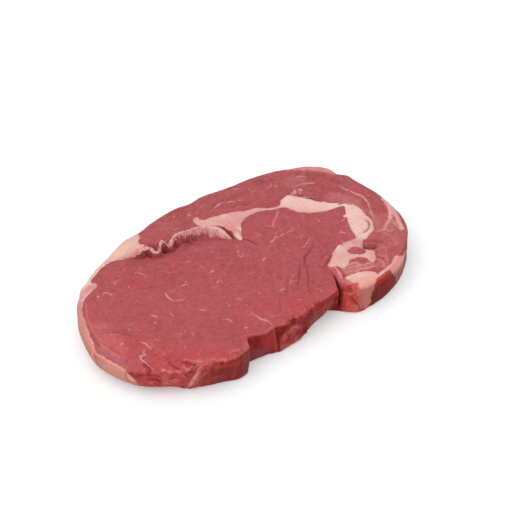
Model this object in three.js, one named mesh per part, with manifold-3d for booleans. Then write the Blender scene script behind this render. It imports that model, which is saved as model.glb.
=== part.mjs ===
// A raw rib-eye steak lying on its cut face, as one solid, in millimetres with +Z up.
// +X runs from the rounded end of the eye muscle to the tail, where the fat kernel and the small muscles are.
// +Y runs from the open edge, with its lobes and the cleft, to the back edge of the cap muscle.
// The origin is on the resting face, under the middle of the plan.

import * as THREE from "three";
import { mergeVertices } from "three/addons/utils/BufferGeometryUtils.js";
import Module from "manifold-3d";

const wasm = await Module();
wasm.setup();

// Driving dimensions.
const THICKNESS = 18.5; // between the resting face and the level of the cut face
const RIM_ROUND = 2; // round along the rim of the cut face
const FOOT_ROUND = 1.6; // round along the resting face
const PLAN_MIDDLE = [1.92, 6.15]; // middle of the plan's box, in the coordinates of the landmarks below
const COLUMNS = 152; // steps round the outline
const TOP_ROWS = 13; // steps from the rim to the middle of the cut face
const BASE_ROWS = 5; // steps from the foot to the middle of the resting face
const ROUND_STEPS = 3; // steps over the round of the rim
const WALL_STEPS = 5; // steps up the side between the two rounds
const WALL_SWELL = 0.55; // bundles of muscle swell out of the side by up to this

// The outline, once round from the tip of the tail, anticlockwise: x, y and how far the foot is drawn in under it.
const OUTLINE = [
  [94.4, 0, 0], [92.4, 21, 0], [91.6, 27.5, 0], [88.4, 31.5, 0], [87.6, 37, 0], [77, 48.3, 0],
  [48, 57.6, 0], [37, 58.5, 0], [18, 61.2, 0], [10, 60, 0], [1, 60.3, 0], [-11, 58.6, 0], [-24, 55.5, 0],
  [-34, 55.2, 0], [-64, 42.8, 0], [-74, 36, 0], [-80.5, 28, 0.5], [-88.6, 8, 3], [-90.6, -3, 5],
  [-84.2, -25, 7], [-70, -36.6, 6.5], [-61.5, -42.4, 5], [-39, -48.9, 3], [-34, -47.2, 1.5],
  [-27.6, -42.2, 1], [-22, -44, 2.5], [-16.4, -44.2, 1.8], [-13.4, -43.6, 0.5], [-8.5, -45.2, 1],
  [16, -42, 4.5], [22, -42.2, 6], [27.5, -41, 4], [31, -39.8, 2], [38.4, -45.4, 0], [45, -47, 1],
  [61, -44.6, 1], [77, -35.2, 0], [90, -19, 0],
];
// The rows of the cut face close in on a line along X, and the innermost share of them on its middle.
const SPINE_HALF = 46;
const SPINE_Y = 7;
const INNER_SHARE = 0.45;

// At the rounded end of the eye muscle the cut face falls away in a wide round, which is torn along the open edge.
const SHOULDER = { x: -80, y: -20, reach: 25, wider: 7, deeper: 3 };

// The cap muscle has pulled up from the eye muscle here. The foot is the bottom of the step between the two,
// and the crest is the edge of the membrane above it, with its pleats.
const STEP_FOOT = [
  [-50, 44.5], [-41, 43.6], [-29, 37.6], [-8, 34.6], [6, 29.4], [11.6, 23.6], [20, 17],
];
const CREST = [
  [-36, 42.6], [-27.4, 41.8], [-25.6, 38.8], [-23.6, 38.2], [-21.4, 41], [-19, 41.4], [-17.8, 38.6],
  [-16, 38.8], [-13.4, 40.8], [-8, 41.4], [3, 38], [6.4, 35.2], [10, 27.6],
];
const STEP_WIDTH = 5.2; // across the slope between the foot and the crest
const STEP_RISE = 1.5; // height of the crest above the level of the cut face
const STEP_DIP = 2; // depth of the eye muscle's edge below it
const DIP_REACH = 6;
const RISE_REACH = 17;
const STEP_FROM = [-46, -33]; // the step grows between these two x values
const DIP_TO = [11, 21]; // its dip fades between these
const RISE_TO = [2, 34]; // and its rise between these
const CREVICE = { width: 1.5, depth: 3.4 };
const MEMBRANE = { thick: 1.3, height: 3.6 };

// The cleft between the eye muscle and the fat kernel, seen from above, from its mouth to its end and back.
const CLEFT = [
  [27, -45.5], [29.2, -39.4], [31.6, -34.8], [33.4, -30], [35, -25.6], [34.8, -29.6], [33.6, -34.6],
  [33.2, -38.6], [33.4, -46],
];

const FAT_KERNEL = { x: 43, y: -41.5, reach: 9, rise: 0.9 };

function smooth(value, from, to) {
  return THREE.MathUtils.smoothstep(value, from, to);
}

function near(x, y, spot) {
  const away = Math.hypot(x - spot.x, y - spot.y) / spot.reach;
  return Math.exp(-away * away);
}

// A line through flat landmarks, as evenly spaced points.
function evenLine(landmarks, count, closed = false) {
  const nodes = landmarks.map(([x, y, z = 0]) => new THREE.Vector3(x, y, z));
  return new THREE.CatmullRomCurve3(nodes, closed, "centripetal").getSpacedPoints(count);
}

const stepFoot = evenLine(STEP_FOOT, 120);

// How far a point lies beyond the foot of the step, towards the cap muscle. On the eye muscle's side it is negative.
function beyondStep(x, y) {
  let nearest = Infinity;
  let beyond = 0;
  for (let i = 1; i < stepFoot.length; i++) {
    const a = stepFoot[i - 1];
    const b = stepFoot[i];
    const along = new THREE.Vector2(b.x - a.x, b.y - a.y);
    const to = new THREE.Vector2(x - a.x, y - a.y);
    const share = THREE.MathUtils.clamp(to.dot(along) / along.lengthSq(), 0, 1);
    const away = Math.hypot(to.x - along.x * share, to.y - along.y * share);
    if (away < nearest) {
      nearest = away;
      beyond = along.cross(to) / along.length();
    }
  }
  return beyond;
}

function stepRelief(x, y) {
  const beyond = beyondStep(x, y);
  const dip = -STEP_DIP * (1 - smooth(x, ...DIP_TO)) * Math.exp(-((Math.min(beyond, 0) / DIP_REACH) ** 2));
  const rise = STEP_RISE * (1 - smooth(x, ...RISE_TO)) * Math.exp(-Math.max(beyond - STEP_WIDTH, 0) / RISE_REACH);
  return smooth(x, ...STEP_FROM) * THREE.MathUtils.lerp(dip, rise, smooth(beyond, 0, STEP_WIDTH));
}

// The soft swell of the cut face, from one bundle of muscle to the next.
function swell(x, y) {
  return 0.4 * Math.sin(x / 21 + 0.7) * Math.cos(y / 15 - 0.5) + 0.2 * Math.sin((x - 1.6 * y) / 9);
}

function topRelief(x, y) {
  const kernel = FAT_KERNEL.rise * near(x, y, FAT_KERNEL);
  return swell(x, y) + stepRelief(x, y) + kernel;
}

// How far the side swells out, or in where it is negative, at a share of the way up.
function wallSwell(x, y, up) {
  const bundles = Math.sin(x / 5.2 + y / 8) + 0.6 * Math.sin(y / 4.1 - x / 9 + 2 * up);
  return WALL_SWELL * Math.sin(Math.PI * up) * (0.25 + 0.5 * bundles);
}

// The round of the rim: how far it reaches in from the side, and how far down.
function rimRound(x, y) {
  const share = near(x, y, SHOULDER);
  return { inward: RIM_ROUND + SHOULDER.wider * share, down: RIM_ROUND + SHOULDER.deeper * share };
}

// The rows from the middle of the resting face, out, up the side, and in to the middle of the cut face.
// Each has the share of the way out to the rim, and a turn over the round of the foot or of the rim.
function layOutRows() {
  const rows = [{ part: "base", share: 0 }];
  for (let i = 1; i < BASE_ROWS; i++) rows.push({ part: "base", share: i / BASE_ROWS });
  for (let i = 0; i <= 2; i++) rows.push({ part: "foot", turn: i / 2 });
  for (let i = 1; i < WALL_STEPS; i++) rows.push({ part: "wall", up: i / WALL_STEPS });
  for (let i = 0; i <= ROUND_STEPS; i++) rows.push({ part: "rim", turn: i / ROUND_STEPS });
  for (let i = TOP_ROWS - 1; i > 0; i--) rows.push({ part: "top", share: i / TOP_ROWS });
  rows.push({ part: "top", share: 0 });
  return rows;
}

// One point of the skin: the row's place in the upright section through a rim point.
function skinPoint(row, rim) {
  const edge = new THREE.Vector2(rim.x, rim.y);
  const middle = new THREE.Vector2(THREE.MathUtils.clamp(rim.x * 0.6, -SPINE_HALF, SPINE_HALF), SPINE_Y);
  const inward = middle.clone().sub(edge).normalize();
  const round = rimRound(rim.x, rim.y);
  const tuck = rim.z;
  const inset = (by) => edge.clone().addScaledVector(inward, by);
  const flat = (from) => {
    const closing = new THREE.Vector2(middle.x * Math.min(1, row.share / INNER_SHARE), SPINE_Y);
    return closing.lerp(inset(from), row.share);
  };
  const onTop = (at, below = 0) => new THREE.Vector3(at.x, at.y, THICKNESS + topRelief(at.x, at.y) - below);
  const angle = (row.turn * Math.PI) / 2;
  if (row.part === "top") return onTop(flat(round.inward));
  if (row.part === "rim") {
    return onTop(inset(round.inward * (1 - Math.cos(angle))), round.down * (1 - Math.sin(angle)));
  }
  let at = flat(tuck + FOOT_ROUND);
  let height = 0;
  if (row.part === "wall") {
    const high = THICKNESS + topRelief(rim.x, rim.y) - round.down;
    at = inset(tuck * (1 - row.up) ** 2 - wallSwell(rim.x, rim.y, row.up));
    height = THREE.MathUtils.lerp(FOOT_ROUND, high, row.up);
  } else if (row.part === "foot") {
    at = inset(tuck + FOOT_ROUND * (1 - Math.sin(angle)));
    height = FOOT_ROUND * (1 - Math.cos(angle));
  }
  return new THREE.Vector3(at.x, at.y, height);
}

// The slab of meat: a lathe's rows and columns, moved out to the outline.
function slab() {
  const rows = layOutRows();
  const rims = evenLine(OUTLINE, COLUMNS, true);
  const poles = (i) => (i === 0 || i === rows.length - 1 ? 0 : 1);
  const profile = rows.map((row, i) => new THREE.Vector2(poles(i), i));
  const geometry = new THREE.LatheGeometry(profile, COLUMNS);
  const position = geometry.attributes.position;
  for (let column = 0; column <= COLUMNS; column++) {
    rows.forEach((row, i) => {
      const at = skinPoint(row, rims[column % COLUMNS]);
      position.setXYZ(column * rows.length + i, at.x, at.y, at.z);
    });
  }
  return geometry;
}

// A closed band along a line: the section reaches down by height and to both sides by half of thick.
function band(line, level, height, thick, steps) {
  const half = thick / 2;
  const section = new THREE.Shape([
    new THREE.Vector2(0, -half * 0.5),
    new THREE.Vector2(0, half * 0.5),
    new THREE.Vector2(-height, half),
    new THREE.Vector2(-height, -half),
  ]);
  const nodes = line.map(([x, y]) => new THREE.Vector3(x, y, level(x, y)));
  const path = new THREE.CatmullRomCurve3(nodes, false, "centripetal");
  return new THREE.ExtrudeGeometry(section, { steps, bevelEnabled: false, extrudePath: path });
}

function membrane() {
  const rise = (x, y) => THICKNESS + topRelief(x, y + 1) + 0.5;
  return band(CREST, rise, MEMBRANE.height, MEMBRANE.thick, 64);
}

function crevice() {
  const inner = STEP_FOOT.slice(2, -1).map(([x, y]) => [x, y + 0.4]);
  const over = (x, y) => THICKNESS + topRelief(x, y) + CREVICE.depth * 0.35;
  return band(inner, over, CREVICE.depth, CREVICE.width, 32);
}

function cleft() {
  const outline = evenLine(CLEFT, 28).map((p) => new THREE.Vector2(p.x, p.y));
  const depth = THICKNESS * 2;
  const blade = new THREE.ExtrudeGeometry(new THREE.Shape(outline), { depth, bevelEnabled: false });
  return blade.translate(0, 0, -THICKNESS / 2);
}

// A closed geometry as a solid that can be joined and cut.
function toSolid(geometry) {
  const bare = geometry.clone();
  bare.deleteAttribute("normal");
  bare.deleteAttribute("uv");
  const merged = mergeVertices(bare, 1e-4);
  const { array } = merged.attributes.position;
  const faces = [];
  const { array: corners } = merged.index;
  for (let i = 0; i < corners.length; i += 3) {
    const [a, b, c] = corners.slice(i, i + 3);
    if (a !== b && b !== c && c !== a) faces.push(a, b, c);
  }
  const build = (triVerts) =>
    new wasm.Manifold(new wasm.Mesh({ numProp: 3, vertProperties: array, triVerts: new Uint32Array(triVerts) }));
  const made = build(faces);
  if (made.volume() > 0) return made;
  return build(faces.toReversed());
}

function toGeometry(solid) {
  const mesh = solid.getMesh();
  const geometry = new THREE.BufferGeometry();
  geometry.setAttribute("position", new THREE.BufferAttribute(new Float32Array(mesh.vertProperties), 3));
  geometry.setIndex(new THREE.BufferAttribute(new Uint32Array(mesh.triVerts), 1));
  return geometry;
}

const meat = toSolid(slab())
  .subtract(toSolid(crevice()))
  .add(toSolid(membrane()))
  .subtract(toSolid(cleft()));

const steakGeometry = toGeometry(meat).translate(-PLAN_MIDDLE[0], -PLAN_MIDDLE[1], 0);
steakGeometry.computeVertexNormals();

const rawMeat = new THREE.MeshStandardMaterial({ color: 0xb45a5f, roughness: 0.5, metalness: 0 });
const steakMesh = new THREE.Mesh(steakGeometry, rawMeat);
steakMesh.name = "steak";

const steak = new THREE.Group();
steak.add(steakMesh);
export default steak;
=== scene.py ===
# A raw rib-eye steak lying on its cut face: the meat, its pulled-up membrane, and its sinews and shreds.
# Landmarks are in millimetres on the plan of the cut face; finished pieces are in metres, in the frame.
import itertools
import math

import bmesh
import bpy
import numpy as np
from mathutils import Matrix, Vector
from mathutils.bvhtree import BVHTree


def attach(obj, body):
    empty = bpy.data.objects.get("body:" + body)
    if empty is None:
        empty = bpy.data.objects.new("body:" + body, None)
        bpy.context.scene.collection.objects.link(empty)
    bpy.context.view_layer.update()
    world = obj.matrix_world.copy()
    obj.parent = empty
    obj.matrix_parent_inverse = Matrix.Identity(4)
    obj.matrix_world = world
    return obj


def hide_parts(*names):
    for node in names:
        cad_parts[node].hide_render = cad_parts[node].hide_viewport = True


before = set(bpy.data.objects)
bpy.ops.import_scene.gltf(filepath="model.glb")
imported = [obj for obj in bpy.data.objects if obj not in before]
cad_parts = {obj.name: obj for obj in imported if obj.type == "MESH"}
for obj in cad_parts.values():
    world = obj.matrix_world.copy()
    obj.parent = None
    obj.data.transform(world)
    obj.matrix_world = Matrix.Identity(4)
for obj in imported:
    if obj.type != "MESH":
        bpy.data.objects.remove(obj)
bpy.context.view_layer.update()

METRE = 1000.0  # millimetres in a metre
PLAN_MIDDLE = np.array([1.92, 6.15, 0])  # middle of the plan's box, in the coordinates of the landmarks

# The slab.
THICKNESS = 18.5
RIM_ROUND = 1.9
RIM_CRISP = 0.9  # on the open side
FOOT_ROUND = 1.6
SPINE_HALF = 46
SPINE_Y = 7
SHOULDER = {"x": -80, "y": -20, "reach": 25, "wider": 7, "deeper": 3}
KERNEL = {"x": 43, "y": -41.5, "reach": 9, "rise": 0.9}
COLUMNS = 640
RIM_POINTS = 620
OVERHEAD = 60  # a height over everything
OUTSIDE = -6.0  # the depth in the fat of a point well outside it
FOOT_ROWS, WALL_ROWS, RIM_ROWS = 4, 9, 7
FOOT_FOLLOWS = 0.45  # how much of a shift of the rim the foot shares
VOXEL = 0.68

# Once round from the tip of the tail, anticlockwise: x, y and how far the foot is drawn in under the rim.
OUTLINE = [
    (94.4, 0, 0), (92.4, 21, 0), (91.6, 27.5, 0), (88.4, 31.5, 0), (87.6, 37, 0), (77, 48.3, 0),
    (48, 57.6, 0), (37, 58.5, 0), (18, 61.2, 0), (10, 60, 0), (1, 60.3, 0), (-11, 58.6, 0), (-24, 55.5, 0),
    (-34, 55.2, 0), (-64, 42.8, 0), (-74, 36, 0), (-80.5, 28, 0.5), (-88.6, 8, 3), (-90.6, -3, 5),
    (-84.2, -25, 7), (-70, -36.6, 6.5), (-61.5, -42.4, 5), (-39, -48.9, 3), (-34, -47.2, 1.5),
    (-27.6, -42.2, 1), (-22, -44, 2.5), (-16.4, -44.2, 1.8), (-13.4, -43.6, 0.5), (-8.5, -45.2, 1),
    (16, -42, 4.5), (22, -42.2, 6), (27.5, -41, 4), (31, -39.8, 2), (38.4, -45.4, 0), (45, -47, 1),
    (61, -44.6, 1), (77, -35.2, 0), (90, -19, 0),
]

# Where the rim is drawn away from that outline: the spot, how far round, and the way it is moved.
CORNERS = [
    (-33.2, -46.6, 2.4, 1.1, -1.3), (-27.8, -42.4, 1.8, -0.6, 0.8), (-16.4, -44.2, 2, 0.3, 0.5),
    (-76, 34, 13, 0.8, -0.6), (-56, 47, 15, 0.6, -1.2), (-35, 55, 11, 0.3, -0.9), (12, 60.5, 15, 0, -0.8),
    (46, 58.5, 14, -0.2, -0.9), (74, 49, 9, -0.6, -0.6), (84, -27, 13, 0.8, -0.8),
]
# Where the foot is drawn out, or in where it is negative: the spot, how far round, and how far.
FEET = [
    (5, -44.4, 8, 1.8), (20, -42, 7, 0.9), (32, -40, 4, 1.0), (34, -42.5, 4, 1.0), (28, -40.8, 3.2, -2.6),
    (-38, -48.4, 5, 0.9), (84, -28, 8, 0.5),
]

# The foot of the step between the eye muscle and the cap muscle.
STEP_FOOT = [(-50, 44.5), (-41, 43.6), (-29, 37.6), (-8, 34.6), (6, 29.4), (11.6, 23.6), (20, 17)]
STEP_WIDTH = 5.2
STEP_RISE = 1.5
STEP_DIP = 2
DIP_REACH = 6
RISE_REACH = 17
STEP_FROM = (-46, -33)
DIP_TO = (11, 21)
RISE_TO = (2, 34)

# The cleft between the eye muscle and the fat kernel, from its mouth to its end and back.
CLEFT = [
    (27, -45.5), (29.2, -39.4), (31.6, -34.8), (33.4, -30), (35, -25.6), (34.8, -29.6), (33.6, -34.6),
    (32.7, -39), (31.8, -46),
]
# How much wider or narrower it is, by height; it is narrower only at its mouth.
CLEFT_FLARE = [
    (-2, -1.0), (3, -0.8), (9, 0), (THICKNESS - 2.2, 0), (THICKNESS - 0.9, 0.35), (THICKNESS, 1.1),
    (THICKNESS + 2, 1.6),
]
CLEFT_MOUTH = (31, 38)

# The seam of fat, from its tip beside the membrane, behind the eye muscle, down to the kernel and back.
SEAM = [
    (3.8, 37.4), (2.7, 38.8), (2.4, 41.2), (2.8, 43.6), (3.1, 45.5), (4.9, 46.9), (7, 46.8), (8, 46.1),
    (6.4, 44.8), (7.2, 43.4), (8.8, 42.2), (11.5, 42.1), (14.3, 41.5), (20, 40), (28, 37), (31, 35.5),
    (35, 34.5), (40, 30.8), (43, 28.6), (46, 28.2), (49, 30.5), (52, 32), (57, 32.5), (57.6, 30), (62, 23),
    (67, 16.5), (72, 11.9), (75.6, 10), (77.4, 6), (78.1, 1), (76.8, -5), (77, -9), (74.8, -13.1),
    (72.3, -16.4), (68, -18.2), (64.6, -20), (62, -19.9), (60, -22), (58.8, -25.2), (59.4, -27.2),
    (61.2, -28.2), (60.6, -30.8), (58.4, -34.1), (56.2, -36.2), (54.5, -36.4), (51, -35.6), (49.2, -32.2),
    (46.6, -30), (45.6, -28.4), (43.4, -29.8), (40.4, -30.6), (38.4, -27.8), (36.2, -26.6), (35.2, -24.6),
    (36.6, -23.4), (39, -21.8), (41.3, -20), (43.9, -17.8), (46.3, -17), (48.5, -15.8), (50, -15.4),
    (51.4, -16.6), (52.5, -15.9), (55.1, -15.8), (58, -16.4), (60.4, -16.2), (61.4, -14.4), (62.6, -10.8),
    (64.4, -6.2), (66.7, -2.9), (67.6, -0.4), (66.8, 1.2), (69.8, 2.4), (70.9, 4.5), (73, 7.6), (71.4, 8.6),
    (62, 10.5), (54, 15), (49.5, 20), (48.4, 23.4), (46, 26.4), (43, 26.8), (37, 30.5), (30, 31.8), (24, 30),
    (19.8, 26.5), (17.2, 22.6), (15.2, 19.7), (13.9, 21.4), (13.6, 24), (10, 32.6), (5, 36.6),
]
ISLANDS = [
    [(50.7, -21.6), (52.8, -20.9), (55.2, -21.6), (57.6, -23.6), (58.5, -26), (58, -27.5), (55.7, -28.1),
     (52.6, -26.2), (50.5, -24.2)],
    [(46.8, -27.6), (48.5, -28.2), (50.3, -28.4), (52, -28.8), (53.6, -29.9), (54.6, -31.6), (54.3, -33.6),
     (54.6, -36), (52.6, -36.6), (50.1, -34.6), (48.9, -32), (47, -30.2), (46, -28.8)],
]
KERNEL_TOP = [
    (35.9, -37.2), (38.9, -37), (41.9, -37.2), (44.9, -38.2), (47.9, -40.1), (50, -42.5), (50.4, -45),
    (49, -50), (44, -51.5), (41, -50), (40, -46.6), (38.2, -44.2), (37, -42), (36.3, -39.9),
]
LEFT_FAT = [
    (-26.5, 58), (-26.2, 51.2), (-28.9, 47.7), (-30.1, 44.6), (-28.4, 43.2), (-32.9, 42.2), (-38.1, 42.6),
    (-43.2, 42.4), (-47.8, 44.1), (-52.1, 44), (-55.8, 43), (-59.8, 41.4), (-63.3, 39.4), (-65.3, 37.2),
    (-63.1, 35.2), (-64.5, 33), (-67.4, 32.1), (-71.1, 31), (-73.8, 29.3), (-77, 26.6), (-80.4, 21.6),
    (-82.6, 16.3), (-85.1, 10), (-87.2, 4.6), (-88.4, 0.9), (-89.8, -2), (-89, -7.9), (-87.8, -12.3),
    (-86.6, -16.6), (-85.5, -21), (-84, -24.6), (-97, -30), (-104, 0), (-90, 34), (-70, 58),
]
# Narrow bands of fat on the cut face: half the width, and the line.
FAT_BANDS = [
    (1.5, [(50, -46.2), (54, -45.6), (59, -44.4), (63.8, -42.9), (67.2, -41.4)]),
    (1.2, [(93, 0), (92.8, -4.4), (91.2, -9.4), (88.9, -15), (86.2, -20.4), (83.4, -25.8)]),
]

# The membrane over the step: its upper edge and its lower edge, from the left.
FOLDS = [
    (-34.6, 44.4, -35.4, 42), (-33, 43.8, -33.8, 41.4), (-31.4, 43.4, -32.2, 41.2),
    (-29.4, 42.6, -30, 40.8), (-27.6, 41.8, -28.6, 39.6), (-26.2, 40.6, -27.6, 38), (-25.4, 39, -26, 36.9),
    (-24.4, 38.5, -24, 36.6), (-23.2, 39.2, -22.4, 36.9), (-21.2, 40.9, -20.6, 38.6),
    (-19.6, 41.2, -19, 38.8), (-18.3, 40, -18.5, 37.6), (-17.7, 38.9, -17.9, 36.2), (-16.9, 39, -16.9, 36.1),
    (-15.4, 39.8, -15, 37.3), (-12, 41.1, -13.6, 38), (-8, 41.4, -10.8, 37.4), (-5.2, 40.6, -7.9, 36.4),
    (-2.6, 40, -5.6, 36), (0, 39.4, -3.4, 35.6), (2.6, 38.4, -1.2, 34.6), (5, 36.8, 1.8, 32.8),
    (7.4, 34.8, 4.8, 30.4), (9.4, 33, 7.4, 27.6), (10.2, 30.9, 8.8, 25.8), (10.8, 28.2, 9.9, 24.2),
    (11.6, 24.6, 11.2, 22.8),
]
# How deep the crevice under it is, and how strong its painted shade, by x.
CREVICE_DARK = [
    (-40, 0.0), (-36, 0.45), (-32, 0.65), (-29, 0.75), (-26, 0.6), (-22.5, 0.6), (-20.5, 1), (-18, 0.6),
    (-14.5, 0.9), (-8, 0.85), (-4, 0.65), (0, 0.5), (3, 0.3), (9, 0.15), (11, 0),
]
MEMBRANE_LENGTH = 62
MEMBRANE_THICK = 0.45
# Its height over the ground by how far down it: hanging on the right, and rolled up on the left.
CURTAIN = [(0, -0.5), (0.12, 0.55), (0.3, 0.75), (0.7, 0.4), (1, 0), (1.4, -0.5)]
TUBE = [(0, -0.5), (0.15, 0.35), (0.45, 0.7), (0.8, 0.5), (1, 0.05), (1.4, -0.3)]
NARROW_UNTIL = (-18, -12)
LOOSE_UNTIL = (-17, -11)
SHORT_HEM = (0.42, 0.5, 0.68, 0.82)
# Its colours: on the lip, pale with a painted highlight; below that; and at the hem, darkened with painted
# shade.
MEMBRANE_LIP = (240, 178, 174)
MEMBRANE_FACE = (216, 144, 144)
MEMBRANE_LOW = (162, 76, 80)
# The part of the cut face under it.
STEP_X = (-42, 16)
STEP_Y = (18, 48)
FIBRE_FACES = (0, -0.4, 0.9)  # which way its free side looks
# The slit between its right end and the tip of the seam.
SLIT = [(10.4, 33), (11.4, 30.8), (12.2, 28.4), (12.6, 26.2), (12.4, 24.2)]

# Sinews and shreds: where, colour, half the width, half the thickness, how high, and the line.
SINEWS = [
    ("face", "pearl", 0.7, 0.6, 0.2, [(9.2, 33), (10, 30.4), (10.6, 27.8), (11.2, 25.2), (11.6, 23.4)]),
    ("face", "blossom", 0.8, 0.6, 0, [(12.4, 31), (13.2, 28.6), (14, 26.4), (14.6, 24)]),
    ("face", "blossom", 0.7, 0.5, 0, [(13.4, 30.6), (14.8, 27.4), (15.4, 24.4)]),
    ("face", "veil", 0.5, 0.4, 0.1, [(16.4, 26), (16.6, 23.4), (16, 20.8)]),
    ("face", "veil", 1.1, 0.8, -0.2, [(58.6, 30.4), (59.8, 32), (61.2, 33)]),
    ("face", "blossom", 0.9, 0.7, -0.2, [(62, 32.8), (63.2, 31.6), (63.2, 29.8)]),
    ("face", "film", 0.9, 0.7, -0.2, [(57, 29.8), (57.6, 31.4), (58.8, 32.8)]),
    ("face", "film", 0.7, 0.5, -0.1, [(60.6, 28.8), (61.6, 30.2), (62, 31)]),
    ("face", "veil", 0.5, 0.4, 0, [(60.7, 27.4), (61.6, 25.6), (63.4, 24.2)]),
    ("face", "mauve", 0.5, 0.35, 0, [(62.4, 26.4), (64.6, 23), (66.6, 20.4)]),
    ("face", "mauve", 0.55, 0.4, 0.1, [(71.2, 10.2), (74.6, 9.4), (76.8, 5.8)]),
    ("over", "rose", 1.0, 0.9, -0.5,
     [(37.3, -26.4), (37.2, -28.6), (36.8, -30.8), (36, -33), (35.2, -35), (34.6, -37.4)]),
    ("over", "blossom", 0.55, 0.6, 0.1,
     [(36.9, -27.4), (36.5, -29.4), (36.1, -31.2), (35.4, -33.2), (34.8, -35), (34.2, -36.4)]),
    ("face", "veil", 0.4, 0.3, 0.1, [(39, -31.4), (42.9, -32.4), (46.7, -33.8), (50.6, -35.2), (54.6, -37)]),
    ("face", "rose", 0.35, 0.3, 0.1,
     [(37.4, -36), (41.1, -36.2), (45.3, -37.2), (49.1, -38.8), (53.4, -40.4)]),
    ("face", "veil", 0.35, 0.3, 0.05, [(43, -30.4), (46, -31), (48, -33.6), (51, -36.6)]),
    ("side", "haze", 1.0, 0.6, 0.05,
     [(311.8, 17.8), (310.2, 16.6), (309.1, 14.4), (307.9, 11.2), (306.4, 7), (305, 2)]),
    ("side", "rib", 0.65, 0.45, 0.1,
     [(312.6, 17.6), (311, 15.8), (309.9, 13.2), (308.6, 9.6), (307.2, 5.4), (306, 1.4)]),
    ("side", "haze", 0.3, 0.4, 0.3, [(311, 16.8), (309.8, 14.6), (308.8, 12), (307.4, 8.4), (306, 4)]),
    ("side", "rib", 0.4, 0.35, 0.1,
     [(313.4, 14.4), (312.2, 12.4), (310.5, 11), (309.7, 9.1), (308.8, 5.1), (308, 1)]),
    ("side", "rib", 0.3, 0.3, 0.1, [(304.6, 8), (303.8, 5), (303, 1.6)]),
    ("side", "edge", 0.5, 0.45, 0.1, [(294.8, 16), (296.6, 15), (298.4, 13.8), (300.4, 12.8)]),
    ("side", "rib", 0.45, 0.4, 0.1, [(296.4, 9.5), (298.5, 11.8), (300.2, 12.8)]),
    ("side", "clay", 0.55, 0.5, 0.2,
     [(408.9, 16.8), (410.1, 16.6), (411, 15.2), (410.4, 13.6), (408.9, 12.9), (407.8, 13.4)]),
    ("side", "blood", 1.3, 0.7, 0, [(407.6, 11.4), (408, 8.4), (407.8, 5.2), (408, 1.8)]),
    ("side", "clay", 1.1, 0.6, 0, [(411.2, 5.6), (412.2, 4.4), (412.4, 2.4)]),
    ("side", "blood", 0.8, 0.6, 0.1, [(410.6, 12.4), (411.8, 10), (413.2, 7)]),
]

# The eye muscle; what lies beyond it is the cap.
EYE_BEHIND = [
    (20, 17), (14, 20), (10, 30), (24, 33), (37, 32), (46, 28), (56, 25), (66, 13), (73, 4), (70, -8),
    (66, -16), (52, -18), (40, -24), (36, -30), (31, -46), (-40, -60), (-100, -30), (-100, 30), (-50, 44.5),
    (-29, 37.6), (-8, 34.6), (6, 29.4),
]
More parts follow.
